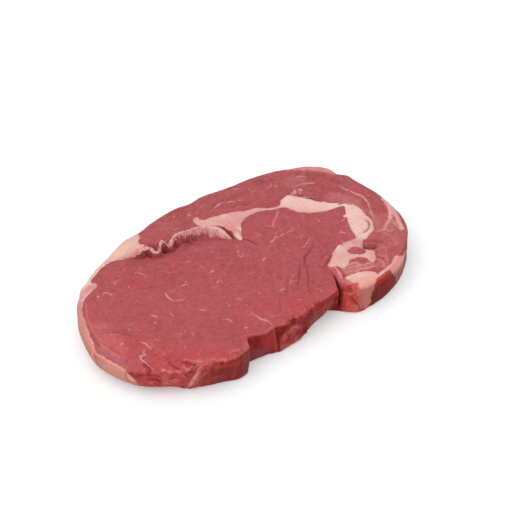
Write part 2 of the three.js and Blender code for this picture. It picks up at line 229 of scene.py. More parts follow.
# The flecks of marbling: half the width, how pale, and the line.
FLECKS = [
    (1.3, 1, [(-68.9, 26.8), (-67.4, 26.4)]),
    (0.5, 0.8, [(-66, 25.5), (-64, 27.2), (-62.6, 25), (-62.4, 21.5)]),
    (0.4, 0.7, [(-57, 28), (-55.5, 30.5), (-53.5, 30.3)]), (0.4, 0.6, [(-51, 25), (-52.5, 22.5)]),
    (0.4, 0.5, [(-41, 31), (-38, 31)]), (0.4, 0.7, [(-44, 30.5), (-42, 28.5), (-41, 26)]),
    (0.5, 0.7, [(-20, 21.5), (-16.5, 20.5)]), (0.7, 1, [(-40.3, 9.5), (-41, 7), (-41.3, 4), (-40.5, 1.5)]),
    (0.45, 0.8, [(-40.5, 1.5), (-38.5, 0.3), (-36, -1)]), (0.6, 1, [(-32, 8.3), (-29.5, 7.7), (-28, 6.5)]),
    (0.4, 0.6, [(-29, 8), (-27, 10)]), (0.9, 1, [(-14.4, 7.8), (-11.6, 7.2)]),
    (0.4, 0.7, [(-67, 2), (-65, 0.5)]), (0.6, 1, [(-56, 0), (-54.5, -1.5), (-53.8, -4)]),
    (0.8, 0.9, [(-70, -2.2), (-69, -1.5)]), (1.1, 1, [(-57.5, -6.2), (-56.5, -5.5)]),
    (1.1, 1, [(-78.6, -8.7), (-77.4, -7.8)]), (0.4, 0.7, [(-47.5, -4), (-47.5, -8.5)]),
    (0.5, 0.7, [(-34.5, -10.5), (-33.8, -12.5), (-32.8, -14)]),
    (0.7, 0.9, [(-70.7, -12.7), (-69.3, -15.6), (-69.5, -19.1), (-69.1, -20.2)]),
    (0.7, 0.9,
     [(-71.1, -18.2), (-73.6, -19.3), (-74.1, -21.6), (-76.3, -20.7), (-77, -23.3), (-76.6, -25.9),
      (-76.2, -28.6), (-76, -30.6)]),
    (0.4, 0.6, [(-64, -15), (-63.5, -18)]), (0.5, 0.8, [(-53, -20.3), (-51.5, -19.3)]),
    (0.4, 0.5, [(-47.5, -22), (-47.8, -25)]),
    (0.5, 0.8, [(-30.5, -24.5), (-28.8, -25), (-27.8, -27.5), (-28.5, -29.5)]),
    (0.6, 0.9, [(-26, -35), (-24, -36)]), (0.5, 0.8, [(-34.3, -38.3), (-33.5, -40)]),
    (0.6, 1, [(-17, -29), (-16, -31), (-15.5, -35), (-14, -37.5), (-13.5, -39.5), (-13.8, -41.5)]),
    (0.4, 0.6, [(-15.5, -17), (-14, -18.7)]), (0.4, 0.6, [(-21.5, -17), (-21.8, -19.5)]),
    (0.4, 0.6, [(-55, -28), (-57, -30)]), (0.5, 0.8, [(-16.5, -1), (-15, 0), (-13.5, 0.8)]),
    (0.9, 0.8, [(-3.4, 54), (-2.2, 53.6)]), (0.9, 0.9, [(3.8, 51), (5.2, 50.5)]),
    (0.8, 0.8, [(13.2, 53), (14.4, 52.6)]), (0.5, 0.8, [(-10, 45.3), (-9, 44.8), (-6, 44.8)]),
    (0.6, 0.8, [(18, 47.8), (22.5, 47.8)]), (0.5, 0.9, [(26, 47.3), (28, 46.8), (30.5, 45.2)]),
    (0.8, 0.9, [(32.2, 44.7), (33.4, 44.2)]), (0.5, 0.6, [(41.5, 48.8), (43.5, 48.8)]),
    (0.5, 0.7, [(35, 54.8), (39, 52)]), (0.5, 0.7, [(46, 43), (47, 42.6)]),
    (0.5, 0.9, [(50, 43.5), (53, 44.2), (55, 46)]), (0.5, 0.6, [(42, 35.2), (43, 34.8)]),
    (0.5, 0.6, [(37, 37.6), (38, 37.3)]), (0.4, 0.6, [(54, 41.2), (55, 40.8)]),
    (0.4, 0.6, [(56, 37), (57, 36.6)]), (0.5, 0.9, [(68.5, 42), (70, 41), (72.5, 39)]),
    (0.8, 1, [(29, 19.5), (30, 19.1)]),
    (0.45, 0.9, [(44.4, 26.9), (41.5, 23.8), (38.2, 20.9), (35.1, 19.1), (32.2, 15)]),
    (0.5, 1, [(36.4, 20), (34.6, 18.6), (32.6, 16)]), (0.35, 0.7, [(29.3, 19.5), (30.9, 18.2), (32.3, 16)]),
    (0.3, 0.6, [(46, 27.6), (44.4, 26.9)]), (0.6, 1, [(23.1, 6.7), (25.4, 7.4), (27, 7.6)]),
    (0.4, 0.9, [(27, 7.6), (31.9, 8), (35.9, 8.1), (39.9, 8.2)]), (0.45, 0.9, [(26.8, 7.8), (29.4, 9.8)]),
    (0.3, 0.6, [(29.4, 9.8), (32.1, 11.9)]), (0.5, 0.8, [(5.3, 10.2), (4.6, 6.7)]),
    (0.6, 0.9, [(4.6, 6.7), (6, 7.6)]), (0.4, 0.7, [(6, 7.6), (8, 9.4)]), (0.5, 0.8, [(6, 11), (7.3, 12.3)]),
    (0.4, 0.7, [(8.7, 17.5), (9, 14)]), (0.4, 0.7, [(17.5, 3.6), (19.5, 3.3)]),
    (0.5, 0.8, [(54.8, 7.7), (54.4, 4.9)]), (0.5, 0.8, [(65.6, 4.2), (66.4, 3.8)]),
    (0.5, 0.8, [(11.5, -1.8), (13.5, -0.6)]), (0.5, 0.8, [(9.3, -13.4), (10.7, -13)]),
    (0.35, 0.8, [(34.1, -6.2), (37.3, -4.7)]), (0.6, 0.9, [(37.3, -4.7), (39, -3.8)]),
    (0.35, 0.7, [(39, -3.8), (42.5, -1.6)]), (0.5, 0.8, [(11.6, -2.2), (14.7, -0.7)]),
    (0.4, 0.8, [(-4.6, -18.7), (-4.6, -20.4)]), (0.45, 0.9, [(3.9, -23.8), (6.7, -24.2), (8.5, -23.6)]),
    (0.3, 0.7, [(15, -20.2), (11.3, -24)]), (0.3, 0.7, [(15.9, -19.1), (18.8, -19.4)]),
    (0.3, 0.6, [(15.9, -19.1), (15, -20.2)]), (0.45, 0.9, [(-16.3, -16.3), (-13.7, -19.3)]),
    (0.4, 0.8, [(-35, -11.3), (-32, -13.7)]), (0.35, 0.8, [(-16.1, -0.8), (-13.6, 0.1), (-14.2, -2.3)]),
    (0.3, 0.5, [(20, -8), (22, -6)]), (0.3, 0.5, [(26, -1), (28.4, -1.6)]), (0.3, 0.5, [(22, 18), (24, 16)]),
    (0.3, 0.5, [(44, 12), (46, 13.6)]), (0.3, 0.6, [(50, -4), (52, -3)]),
    (0.4, 0.6, [(-1, -37.5), (-0.5, -39.5)]), (0.4, 0.7, [(21, -35), (20.3, -38.5)]),
    (0.5, 1, [(55.5, -9), (57.5, -8), (58, -9.5), (60.8, -12)]),
    (0.5, 0.9, [(63, -1), (65.5, -1.5), (67, -0.5)]), (0.4, 0.6, [(15.2, 52.9), (17, 52.7)]),
    (0.4, 0.7, [(14.9, 46.9), (16.3, 46.6)]), (0.45, 0.9, [(20.7, 49), (23.6, 48.5), (25.9, 48.1)]),
    (0.45, 0.7, [(32.5, 43.9), (34.5, 43)]), (0.35, 0.6, [(27.5, 40.8), (29.7, 40.2)]),
    (0.35, 0.6, [(44.3, 40.3), (46.5, 39.7)]), (0.35, 0.6, [(54.5, 43.1), (57.1, 42.1)]),
    (0.35, 0.6, [(40.8, 46), (44.9, 46.1)]), (0.5, 0.7, [(7.4, 49.4), (9.8, 49.1)]),
    (0.5, 0.8, [(3.5, 50.1), (5.4, 50.1)]),
    # Fine dark lines; the first four run along creases and are their painted shade.
    (0.3, -0.55,
     [(41, -6.5), (36.8, -9.3), (32, -11.5), (28, -15.2), (25.4, -20), (22.1, -25.1), (18.4, -29.7),
      (15.1, -35.6)]),
    (0.3, -0.6, [(24.6, -15.4), (21.1, -19.4), (17.4, -23.1), (14.2, -26.3)]),
    (0.3, -0.6, [(45.7, -17.4), (41.1, -19.8), (36.6, -22.1), (32.6, -23.8)]),
    (0.3, -0.8, [(15.3, 19.8), (16.8, 16.8), (17.4, 12.6), (17.1, 9.7)]),
    (0.25, -0.5, [(-18, 3), (-13, 0), (-10, 0.6)]), (0.25, -0.5, [(33, -10), (29, -13), (26, -17)]),
    (0.25, -0.4, [(38, 2), (34, -3), (30, -6)]), (0.25, -0.4, [(10, 4), (6, -2), (4, -8)]),
    (0.3, -0.4, [(1.5, -28.5), (-3, -33)]), (0.3, -0.5, [(-84, 7.4), (-79, 4.8), (-76, 2.4), (-72, -1)]),
    (0.3, -0.6, [(-82, 4.2), (-76.3, 0.4), (-73.3, -3.5), (-70.8, -8)]),
    (0.25, -0.4, [(-60, 12), (-52, 8), (-46, 5)]), (0.25, -0.35, [(-30, -14), (-24, -18), (-20, -22)]),
    (0.25, -0.35, [(-44, -20), (-38, -25), (-34, -29)]), (0.25, -0.35, [(-52, 20), (-44, 17), (-36, 12)]),
    (0.3, -0.4, [(-44, -33), (-38, -37), (-32, -40)]), (0.25, -0.35, [(4, -30), (10, -35), (13, -38)]),
    (0.25, -0.3, [(44, 6), (50, 1), (54, -2)]), (0.25, -0.3, [(28, 12), (34, 9), (40, 4)]),
    # Tendons in the cap and the tail.
    (0.6, 1, [(84.6, -15.2), (80.8, -17.4), (77.3, -19.4), (74, -19.5), (71.1, -18.1)]),
    (0.7, 1, [(77, -19.6), (77.2, -21.8), (77, -23.8)]),
    (0.7, 1, [(81.8, -16.8), (83.3, -18.6), (83, -22.4), (82.8, -26.5)]),
    (1.2, 1,
     [(81.4, 22), (82.5, 18.2), (83.7, 15.6), (84.1, 11.9), (85.5, 8), (85, 4.2), (83.6, 0.1), (81.4, -3.5)]),
    (0.7, 0.7, [(83, -1), (81.4, -3.5), (79.9, -6.5), (78.4, -10)]),
    (0.8, 0.9, [(64.3, 35.9), (67.3, 34.6), (69.9, 33.5), (72, 32), (74.2, 31.3)]),
]

# Creases in the cut face: depth, half the width and the line.
CREASES = [
    (0.32, 0.7,
     [(41, -6.5), (36.8, -9.3), (32, -11.5), (28, -15.2), (25.4, -20), (22.1, -25.1), (18.4, -29.7),
      (15.1, -35.6)]),
    (0.36, 0.6, [(24.6, -15.4), (21.1, -19.4), (17.4, -23.1), (14.2, -26.3)]),
    (0.45, 0.8, [(45.7, -17.4), (41.1, -19.8), (36.6, -22.1), (32.6, -23.8)]),
    (0.5, 0.6, [(14, 20.4), (15.3, 19.8), (16.8, 16.8), (17.4, 12.6), (17.1, 9.7)]),
    (0.3, 0.5, [(-0.1, -32), (-3.3, -35.1), (-6.9, -38.9)]),
    (1.8, 1.0, [(59.1, -23.5), (60.5, -25.4), (61.8, -27.1), (63.2, -27.8)]),
    (0.9, 0.8, [(74.6, -7.8), (74.3, -10.6), (72.1, -13.1), (69.6, -14.4), (67.3, -14.7)]),
    (0.9, 0.5, [(-67.6, -32.6), (-67.6, -34.9), (-67.2, -36.8), (-66.8, -38.2)]),
    (0.8, 0.5, [(-62.8, -35.5), (-62.3, -38), (-63, -39.7), (-61.6, -40.3)]),
    (0.8, 0.6, [(56, 33), (58.6, 30.4), (61.4, 26.4), (64.6, 21)]),
    (0.5, 0.5, [(38.6, -30), (41, -31.2), (44.4, -31.4), (46.4, -34)]),
    (0.5, 0.5, [(36.4, -35), (40.1, -35.7), (43.7, -36.8), (48, -38)]),
    (1.2, 0.8, [(-21.1, 37.6), (-20, 37.9), (-19.4, 36.8)]),
    (1.2, 0.9, [(-26.4, 41.6), (-25, 40.2), (-24.3, 39)]),
    (0.9, 1.1, [(-32, 39.9), (-30.2, 39.6), (-29, 38)]),
    (0.7, 0.7, [(-61.4, -36.7), (-61.2, -38.6), (-59.4, -40.6)]),
    (0.6, 0.6, [(-40.2, -46.6), (-37.8, -47.2), (-35.6, -47.2)]),
]

# Grooves in the side: depth, half the width, and the line by how far round it lies and its height.
GROOVES = [
    (0.5, 0.45, [(359.8, 14.6), (360.1, 11.7), (360.9, 6.9), (361.4, 1.9)]),
    (0.3, 0.5, [(409.7, 10.6), (411, 8), (412.6, 6), (413.9, 3.2)]),
    (0.4, 0.6, [(406.2, 14.6), (408.9, 15), (409, 17.4)]),
    (0.25, 0.6, [(281.1, 14.1), (284.5, 15), (288.2, 14.6), (291.9, 14.1)]),
    (0.25, 0.7, [(286.1, 11.9), (289.8, 12.1), (292.7, 10.8)]),
]

# Tints on the cut face: colour, share, softness and outline.
FACE_AREAS = [
    ("flush", 0.5, 3, [(-84, 8), (-76, 2), (-68, -8), (-70, -22), (-78, -22), (-84, -12), (-86, 0)]),
    ("flush", 0.35, 3, [(-20, -20), (4, -26), (20, -36), (8, -42), (-14, -42), (-26, -36)]),
    ("ember", 0.4, 1.5,
     [(-61, -34), (-55, -39), (-48, -44), (-40, -47.6), (-38, -46), (-46, -40), (-56, -34)]),
    ("mauve", 0.5, 0.6,
     [(-87.6, 0.9), (-87, -1.5), (-86.7, -5.4), (-86.4, -9), (-85.4, -14), (-84.2, -20.5), (-85.7, -20.2),
      (-86.4, -16.6), (-87, -12), (-88.4, -8.4), (-89.4, -5), (-89.4, -1.6)]),
    ("ember", 0.45, 1.2, [(-83, -2), (-80, -6), (-79, -12), (-81, -16), (-84.4, -12), (-84.6, -6)]),
    ("peach", 0.6, 1.3,
     [(64, 56.4), (74, 52.6), (80, 46), (84, 41), (88, 36), (89, 31), (85.4, 31.4), (83.8, 34.8),
      (81.4, 37.8), (78, 41), (74, 44.6), (69, 49)]),
    # Painted shade in the hollow in the tail, over both areas below.
    ("dusk", 0.4, 2, [(61, -17), (66, -20), (68, -27), (61.6, -27.4), (59.6, -23)]),
    ("dusk", 0.7, 0.8, [(59.4, -22.6), (62.6, -21.2), (67, -22.6), (70.4, -28), (66, -27.6), (61.2, -25.6)]),
    ("tissue", 0.85, 0.6,
     [(39.3, -28.9), (42.5, -29), (45.4, -29.3), (48.2, -31.2), (49.4, -34.6), (52.2, -36.2), (54.5, -37.6),
      (53.6, -39.4), (50.2, -39.4), (46.8, -37.8), (42, -36.4), (38.4, -36.4), (38.6, -33)]),
    ("flare", 0.4, 0.8,
     [(53.4, -37.6), (56.6, -37.2), (60.6, -35.6), (64, -36.4), (62, -40.4), (57, -42.6), (52, -42)]),
    ("flare", 0.85, 0.7,
     [(33.4, -35.6), (35, -37.4), (36, -39.6), (37, -42.4), (38.6, -44.6), (40.4, -47.4), (37, -50),
      (32.5, -46), (32.8, -38)]),
    ("ember", 0.5, 0.8, [(91.4, -2), (91.6, -8), (89, -15), (86, -20), (84.4, -17), (88, -11), (90.8, -5)]),
    ("ember", 0.4, 1.0, [(88, -4.2), (86.5, -9), (82.6, -14.4), (79.6, -14), (81.6, -9), (85.2, -5.6)]),
    ("rose", 0.24, 2.6,
     [(-82.3, 14), (-76, 9), (-75, 0), (-76.4, -8), (-80, -15), (-85, -17), (-87.6, -8), (-87, 2)]),
    ("tail", 0.45, 2.5, [(-30, 50), (-22, 53), (-8, 52), (-10, 45), (-20, 43), (-27, 44.5)]),
    ("veil", 0.22, 2.6, [(63.7, 44.4), (71, 38.2), (67, 32), (61.6, 30), (58, 34)]),
    ("veil", 0.16, 2.6, [(81.5, -7.7), (88.4, -13), (84, -20), (78.5, -25), (72, -19)]),
    ("veil", 0.3, 2.4, [(78, 2), (80.4, -5), (79, -12.2), (75.3, -15.6), (77.4, -8)]),
    ("veil", 0.3, 2, [(70, 20), (78, 18), (82, 8), (80, 2), (77, 5), (73, 12)]),
    ("dusk", 0.35, 3, [(48, 40), (62, 40), (74, 30), (66, 30), (56, 36)]),
    # Painted shade in the valley before the foot of the step.
    ("dusk", 0.35, 2, [(-40, 40), (-30, 36), (-16, 35), (-4, 32), (-6, 29), (-20, 31), (-36, 34), (-46, 38)]),
]
# Painted highlights round the left end: a light line on the fat, and the one beside it, on the flesh.
LEFT_FAT_RIM_HIGHLIGHT = [
    (-75.7, 29.7), (-78.0, 25.8), (-80.3, 22.0), (-82.2, 17.8), (-84.4, 13.2), (-86.4, 7.6), (-88.0, 2.2),
    (-89.3, -3.8), (-88.7, -8.8),
]
LEFT_FLESH_RIM_HIGHLIGHT = [
    (-75.7, 25.8), (-78.0, 22.0), (-80.9, 16.7), (-83.0, 11.9), (-84.4, 6.7), (-85.0, 1.5), (-84.8, -2.4),
    (-84.4, -6.7),
]
# Lines on the cut face: colour, share, half the width and the line.
FACE_LINES = [
    # A painted highlight along the rim, on the flesh.
    ("flare", 0.7, 0.4, LEFT_FLESH_RIM_HIGHLIGHT),
    ("rose", 0.45, 0.25, [(-86.4, 0), (-85.9, -5), (-85.2, -10), (-84, -15)]),
    ("dusk", 0.6, 0.4, [(-85.6, 2), (-84.9, -3), (-84, -8), (-82.4, -13)]),
    ("film", 0.4, 0.3, [(-87, -9), (-86.2, -13), (-85, -18)]),
    ("dusk", 0.6, 0.7, [(-83.4, 13.4), (-85.6, 6.7), (-86.9, 1.2), (-87, -2.6)]),
    ("mauve", 0.5, 0.5, [(-86.5, -6.5), (-86.2, -11.9), (-85.3, -17.1), (-84.1, -21.9)]),
    # Painted highlights along the rim of the first lobe.
    ("flare", 0.6, 0.4, [(-53.9, -42.6), (-51.2, -43.8), (-48.6, -45.7), (-45.9, -47.4)]),
    ("flare", 0.7, 0.35, [(-61.8, -40.9), (-60.3, -40.8), (-58.2, -40.8), (-56.6, -41.3), (-54.9, -42.2)]),
    ("rose", 0.5, 0.35, [(-64.4, -39.3), (-63.4, -41), (-62, -41.2)]),
    ("rose", 0.6, 0.4, [(-72.6, -33.1), (-71.1, -34.9), (-69.7, -36.9), (-68.2, -38), (-67.2, -38.7)]),
    ("deep", 0.5, 1.2, [(-77.6, -26.6), (-76.4, -28), (-77.6, -29.4)]),
    ("blossom", 0.9, 1.2, [(92, -4), (91.3, -6.8), (88.4, -11.2), (84.8, -14.9)]),
    ("pearl", 0.8, 0.5, [(91.6, -5.6), (89.4, -9.6), (87, -12.8), (85, -14.9)]),
    ("blossom", 0.7, 0.9, [(84.8, -14.9), (82.6, -16.2), (80.8, -17.1), (79, -18)]),
    ("blossom", 0.4, 0.9, [(84.8, -15.5), (84.6, -18), (83.6, -21.6)]),
    ("veil", 0.4, 0.3, [(74.3, -21.4), (74.8, -26.3), (73.8, -31.9), (74.1, -33.1)]),
    ("veil", 0.4, 0.3, [(74.1, -33.1), (68.1, -32.3), (62.1, -29.2)]),
    ("veil", 0.3, 0.3, [(62, -22.6), (66, -26.6), (66.4, -32), (62.6, -37)]),
    ("veil", 0.7, 0.3, [(39, -31.6), (42.9, -32.4), (46.7, -34), (51.1, -35), (55.2, -36.4)]),
    # Painted shade in the crevice between the folded membranes.
    ("deep", 0.4, 0.3, [(40, -33), (44, -34.2), (48, -35.8), (52, -37.8)]),
    ("rose", 0.7, 0.35, [(36.4, -36.6), (42.3, -36.2), (46, -37.2), (52, -39.6)]),
    ("deep", 0.35, 0.35, [(55.4, -37.4), (52.6, -39.4), (51, -41)]),
    ("veil", 0.6, 0.5, [(55, -33), (58, -36), (58.4, -40), (56, -42.6)]),
    ("veil", 0.5, 0.35, [(60.6, -33.6), (62.4, -36.8), (60.6, -40.4)]),
    # Painted shade in the crevice between the folded membranes.
    ("deep", 0.4, 0.4, [(56.6, -32.6), (59.6, -36), (59.6, -40.4)]),
    # Painted shade in the crevice along the edge of the seam's fat.
    ("deep", 0.45, 0.35, [(59, 30.2), (61.5, 25), (64.6, 20), (67, 17)]),
    ("mauve", 0.7, 0.35, [(56, 33.2), (58.8, 30.6), (61.6, 26.6), (64.8, 21.4)]),
    # A painted highlight along the rim.
    ("flare", 0.6, 0.45, [(-41.5, -44.6), (-38.4, -45.1), (-36.4, -45.7)]),
    ("rose", 0.5, 0.35, [(-61.3, -35), (-59.8, -36.6), (-58.8, -38.4), (-57, -40)]),
    # Painted shade in the crease.
    ("deep", 0.6, 0.7, [(-61.4, -36.7), (-61.2, -38.6), (-59.4, -40.8)]),
]
# Tints on the fat of the side: colour, share, softness, and the outline by how far round and how high it is.
FAT_AREAS = [
    ("blush", 0.95, 1.2, [(409, 26), (411, 16.2), (417, 15.6), (425, 16.6), (426, 26)]),
    ("blood", 0.6, 1.6, [(409, 15), (414, 15.4), (415, 10), (416, 3), (413, 0), (409, 4)]),
    ("ochre", 0.6, 1.0, [(254.9, 16.8), (261, 16.4), (262, 12), (260, 7), (256.6, 3), (255.2, 8)]),
    ("sand", 0.6, 1.5, [(259, 15), (264, 15), (271, 14.6), (276, 12.6), (271, 8), (264, 9), (258, 8)]),
    ("blush", 0.8, 0.6, [(276.4, 14.5), (277.8, 16), (279.7, 14.5), (279.2, 9), (276, 9.4)]),
    ("amber", 0.4, 2, [(222, 17.6), (234, 17.2), (244, 16.8), (252, 16), (252, 9), (236, 11), (224, 12)]),
    ("haze", 0.5, 2, [(222, 12), (236, 11), (250, 8), (251, 0), (222, 0)]),
    ("blush", 0.75, 2.6, [(432, 26), (433, 16), (440, 12.6), (447, 12), (455, 13), (458, 26)]),
]
# Lines on the fat of the cut face: colour, share, half the width and the line.
FAT_LINES = [
    ("tan", 0.9, 4.4, [(-80, 27), (-83, 20), (-87.6, 9), (-91, -1), (-91, -9), (-89, -17), (-86, -25)]),
    # A painted highlight along the rim, on the fat.
    ("pearl", 0.75, 0.3, LEFT_FAT_RIM_HIGHLIGHT),
    ("pearl", 0.4, 0.4, [(-88.9, 1), (-90, -3.6), (-89.1, -7.9), (-88.1, -12.3), (-87, -16.6), (-86, -21)]),
    ("dusty", 0.9, 2.2, [(-76.8, 31.6), (-72, 33.6), (-68.5, 34.4), (-65.6, 34.6)]),
    ("tan", 0.35, 1.4, [(-69, 34.4), (-66, 34.8)]),
    ("ivory", 0.6, 4, [(52, 27), (62, 17), (72, 8)]),
    ("dusty", 0.5, 5, [(16, 32), (30, 34), (42, 29)]),
    ("dusty", 0.35, 5, [(42, -20), (50, -22), (56, -19)]),
    ("dusty", 0.8, 2.4, [(57.6, -19), (60, -23), (60.6, -28), (57.6, -34)]),
    ("ivory", 0.7, 5, [(73, 6), (71, -2), (69.5, -9), (66, -14)]),
    ("peach", 0.6, 2.8, [(39, -43), (44, -45), (49, -45)]),
    ("blossom", 0.7, 1.6, [(93, 0), (92.8, -4.4), (91.2, -9.4), (88.9, -15), (86.2, -20.4), (83.4, -25.8)]),
    ("blossom", 0.6, 1.8, [(56, -45), (62, -43.6), (69, -40.6)]),
    ("mauve", 0.85, 0.7, [(74.6, -7.8), (74.3, -10.6), (72.1, -13.1), (69.6, -14.4), (67.3, -14.7)]),
    ("blossom", 0.35, 7, [(8, 42), (14, 37), (18, 32)]),
    ("rose", 0.4, 0.4, [(11, 40), (13, 35), (14, 30)]),
    ("rose", 0.4, 0.35, [(18, 37), (17, 32), (15.4, 27)]),
    ("butter", 0.5, 2.0, [(-47, 46.6), (-42, 47.4), (-37, 48), (-32, 48.6)]),
    ("film", 0.55, 1.4, [(-56, 41), (-50, 42.6), (-44, 43), (-38, 42.4), (-33, 42)]),
]
# The same for the fat on the side, by how far round it lies and its height.
FAT_RIDGES = [
    # The two blush lines are painted highlights: down the corner ridge of the fat wall, and along its top
    # rim.
    ("blush", 0.8, 0.5, [(254.6, 18), (254.3, 15.6), (254.3, 9.9), (255, 6), (256.4, 3)]),
    ("blush", 0.7, 0.5,
     [(255.1, 17.2), (260.5, 17.3), (267.1, 16.5), (271.2, 15.9), (274.1, 15.6), (277, 15.5)]),
    ("rust", 0.4, 0.5, [(275.6, 14.6), (275.2, 11), (275.8, 6)]),
]

# The side, by how far round it lies from the tip of the tail, and its height: its fat, then the tints and
# lines on its flesh.
SIDE_FAT = [
    [(120, -4), (120, 24), (250, 24), (254, 17.6), (262, 17.2), (270, 16.6), (275, 16), (278, 15.2),
     (279.8, 12), (280.2, 6), (283, -4)],
    [(412.4, 24), (412.6, 18.5), (413.4, 13.8), (414.7, 8.5), (415.6, 2.6), (418, 1.6), (420.6, 4.1),
     (420.5, 9.5), (422.1, 13.2), (423, 16.6), (423.4, 24)],
    [(434.2, 24), (434.6, 16.4), (438.3, 10.2), (441.6, 7), (445, -4), (468, -4), (462, 12.6), (454, 14.6),
     (447.6, 16.4), (446.4, 19), (446, 24)],
]
SIDE_AREAS = [
    ("clay", 0.75, 0.7, [(293.4, 12.8), (296.4, 13), (299.2, 10.4), (296, 6.8), (293.4, 8)]),
    ("ochre", 0.6, 0.8, [(279.4, 12), (280.4, 6), (283, 5.6), (283.4, 9)]),
    ("wine", 0.7, 0.6, [(316.7, 19), (318.4, 19), (320, 18.3), (319.2, 17.4), (316.7, 17.6)]),
    ("ochre", 0.35, 1.0,
     [(313.4, 18.5), (316.7, 17.7), (321.7, 16.3), (323.7, 14.8), (322.9, 13.3), (317.5, 15.5), (313.4, 17)]),
    ("bright", 0.45, 1.2,
     [(323.7, 17.8), (327.5, 17.1), (331.2, 16), (331.2, 12.4), (326.6, 12.7), (323.7, 14.8)]),
    ("shade", 0.35, 1.6, [(311, 10), (318, 14), (330, 11.6), (332, -3), (312, -3)]),
    # Painted sheen on the wall at the first lobe's end.
    ("plum", 0.6, 1.0, [(332, 17.6), (335.3, 16.9), (342.3, 15), (343, -3), (334, -3), (333, 8)]),
    ("shade", 0.4, 1.8, [(343.6, 18.4), (350.6, 18), (350.4, 9.4), (347.7, 9.4), (344.4, 11.2)]),
    # Painted sheen at the foot of the notch.
    ("plum", 0.7, 0.8, [(344.4, 10.6), (348.1, 8.7), (351.4, 5.6), (352.6, -3), (345, -3)]),
    ("wine", 0.4, 1.0, [(350.6, 17), (355.6, 18), (358.4, 17), (359.7, 4.6), (358, 2.1), (352.3, 7.4)]),
    # Painted sheen at the foot of the second lobe's wall.
    ("plum", 0.6, 0.8, [(351, 6.5), (357.6, 3.6), (359.7, 0.9), (356, -3), (352.7, -3)]),
    ("shade", 0.65, 1.3,
     [(360.5, 17.4), (363.8, 17.7), (365.9, 16.9), (364.2, 12.5), (362.2, 10.6), (360.9, 10.8)]),
    ("clay", 0.6, 0.8, [(366, 12.4), (368.4, 14), (370.6, 13), (369.6, 10.6), (367, 10)]),
    ("clay", 0.45, 0.9, [(362.4, 10.6), (364.4, 12.4), (366, 9.6), (364, 6.4), (362.4, 7)]),
    ("pale", 0.4, 0.5, [(370.9, 12.5), (372.1, 12.8), (373.8, 10.9), (372.9, 10.5)]),
    ("ochre", 0.6, 1.4, [(361.8, 6.4), (365.5, 4.6), (369, 2.6), (370, -3), (361.4, -3)]),
    ("shade", 0.4, 1.4, [(371, 8), (374, 4), (377.9, -3), (382, -3), (382, 8), (376, 10)]),
    ("shade", 0.45, 0.9, [(368, 18), (372.9, 18), (377.1, 16.9), (377.1, 10.4), (371.3, 13.7), (367.1, 17)]),
    ("shade", 0.6, 1.0, [(377.9, 17.4), (382.9, 16.3), (384.9, 8.8), (382, 3), (378, 3), (376.2, 11)]),
    # Silver skin with a painted sheen, in the bay.
    ("silver", 0.15, 1.0, [(383.3, 11.5), (388.2, 9.9), (392.4, 7.2), (391, 0), (387, -3), (382, 4)]),
    ("wine", 0.4, 0.8,
     [(385.7, 17.5), (389.5, 16.7), (392.4, 15.9), (392.4, 11.7), (388.2, 12.9), (384.5, 14.7)]),
    # Silver skin with a painted sheen, before the cleft.
    ("silver", 0.2, 1.0, [(392.4, 14.5), (396.9, 12.6), (400.6, 6.6), (400, 0), (394, 0), (391, 8)]),
    ("shade", 0.95, 0.8,
     [(398.4, 15.4), (401, 14), (405.4, 12), (405.8, -3), (398, -3), (397.6, 5), (399, 10)]),
    ("blood", 0.9, 0.6,
     [(404.6, 24), (404.6, -4), (416, -4), (414.4, 6.2), (413.2, 10.6), (413.6, 15), (412.4, 18),
      (412.2, 24)]),
    ("haze", 0.55, 0.8, [(404.6, 14.4), (405.5, 15), (405.9, 21), (404.6, 21)]),
    ("wine", 0.3, 0.6, [(406.8, 18.3), (408.9, 17.5), (408.9, 15.1), (406.8, 14.6), (405.8, 16.3)]),
    ("wine", 0.35, 0.7, [(409.4, 12), (412.4, 12), (412.6, 9), (410.6, 8.6)]),
    ("wine", 0.3, 0.7, [(404.8, 8), (406, 10), (406, 4), (405, 1)]),
    ("slab", 0.7, 1.6,
     [(411, 18.5), (411.6, 13.8), (412.8, 8.5), (413.6, 2.4), (416.4, 2), (416, 8.5), (415, 13.8),
      (414.6, 18.5)]),
    ("clay", 0.8, 0.6, [(410.1, 5.9), (412.2, 6.3), (413.9, 4.6), (413.9, 2.5), (411.8, 1), (410.6, 1.8)]),
    ("bright", 0.7, 0.9, [(413.6, 2.6), (416, 2.6), (418, 1.8), (420.6, 3), (421, -3), (412, -3)]),
    ("rust", 0.6, 1.0, [(417.4, -4), (418.6, 2), (421, 4), (423.4, 3), (424, -4)]),
    ("wine", 0.6, 0.7, [(423.4, 17.4), (426, 17), (432, 17), (434, 16), (428, 13.4), (424, 13)]),
    ("shade", 0.7, 1.4,
     [(420.6, 2), (421.4, 9), (424.6, 13), (430, 13), (437, 13), (440, 7), (443, -4), (424, -4)]),
]
SIDE_LINES = [
    ("shade", 0.3, 0.5, [(281.1, 14.1), (284.5, 15), (288.2, 14.6), (291.9, 14.1)]),
    ("shade", 0.3, 0.8, [(286.1, 11.9), (289.8, 12.1), (292.7, 10.8)]),
    ("shade", 1.0, 0.5, [(359.5, 17.6), (360.1, 11.7), (360.9, 6.9), (361.4, 0)]),
    ("edge", 0.35, 0.35, [(358.4, 17), (359, 11.6), (359.5, 5.2), (360, 1)]),
    ("haze", 0.4, 0.3, [(343.2, 16.8), (342.9, 11.8), (343.2, 6.1)]),
    ("shade", 0.7, 0.4, [(331.6, 16), (332.4, 10), (333, 4)]),
    ("wine", 0.6, 0.45, [(409.7, 10.6), (411, 8), (412.6, 6), (413.9, 3.2)]),
    ("edge", 0.8, 0.5, [(423.4, 17), (429.6, 16.8), (434.6, 16.6)]),
]

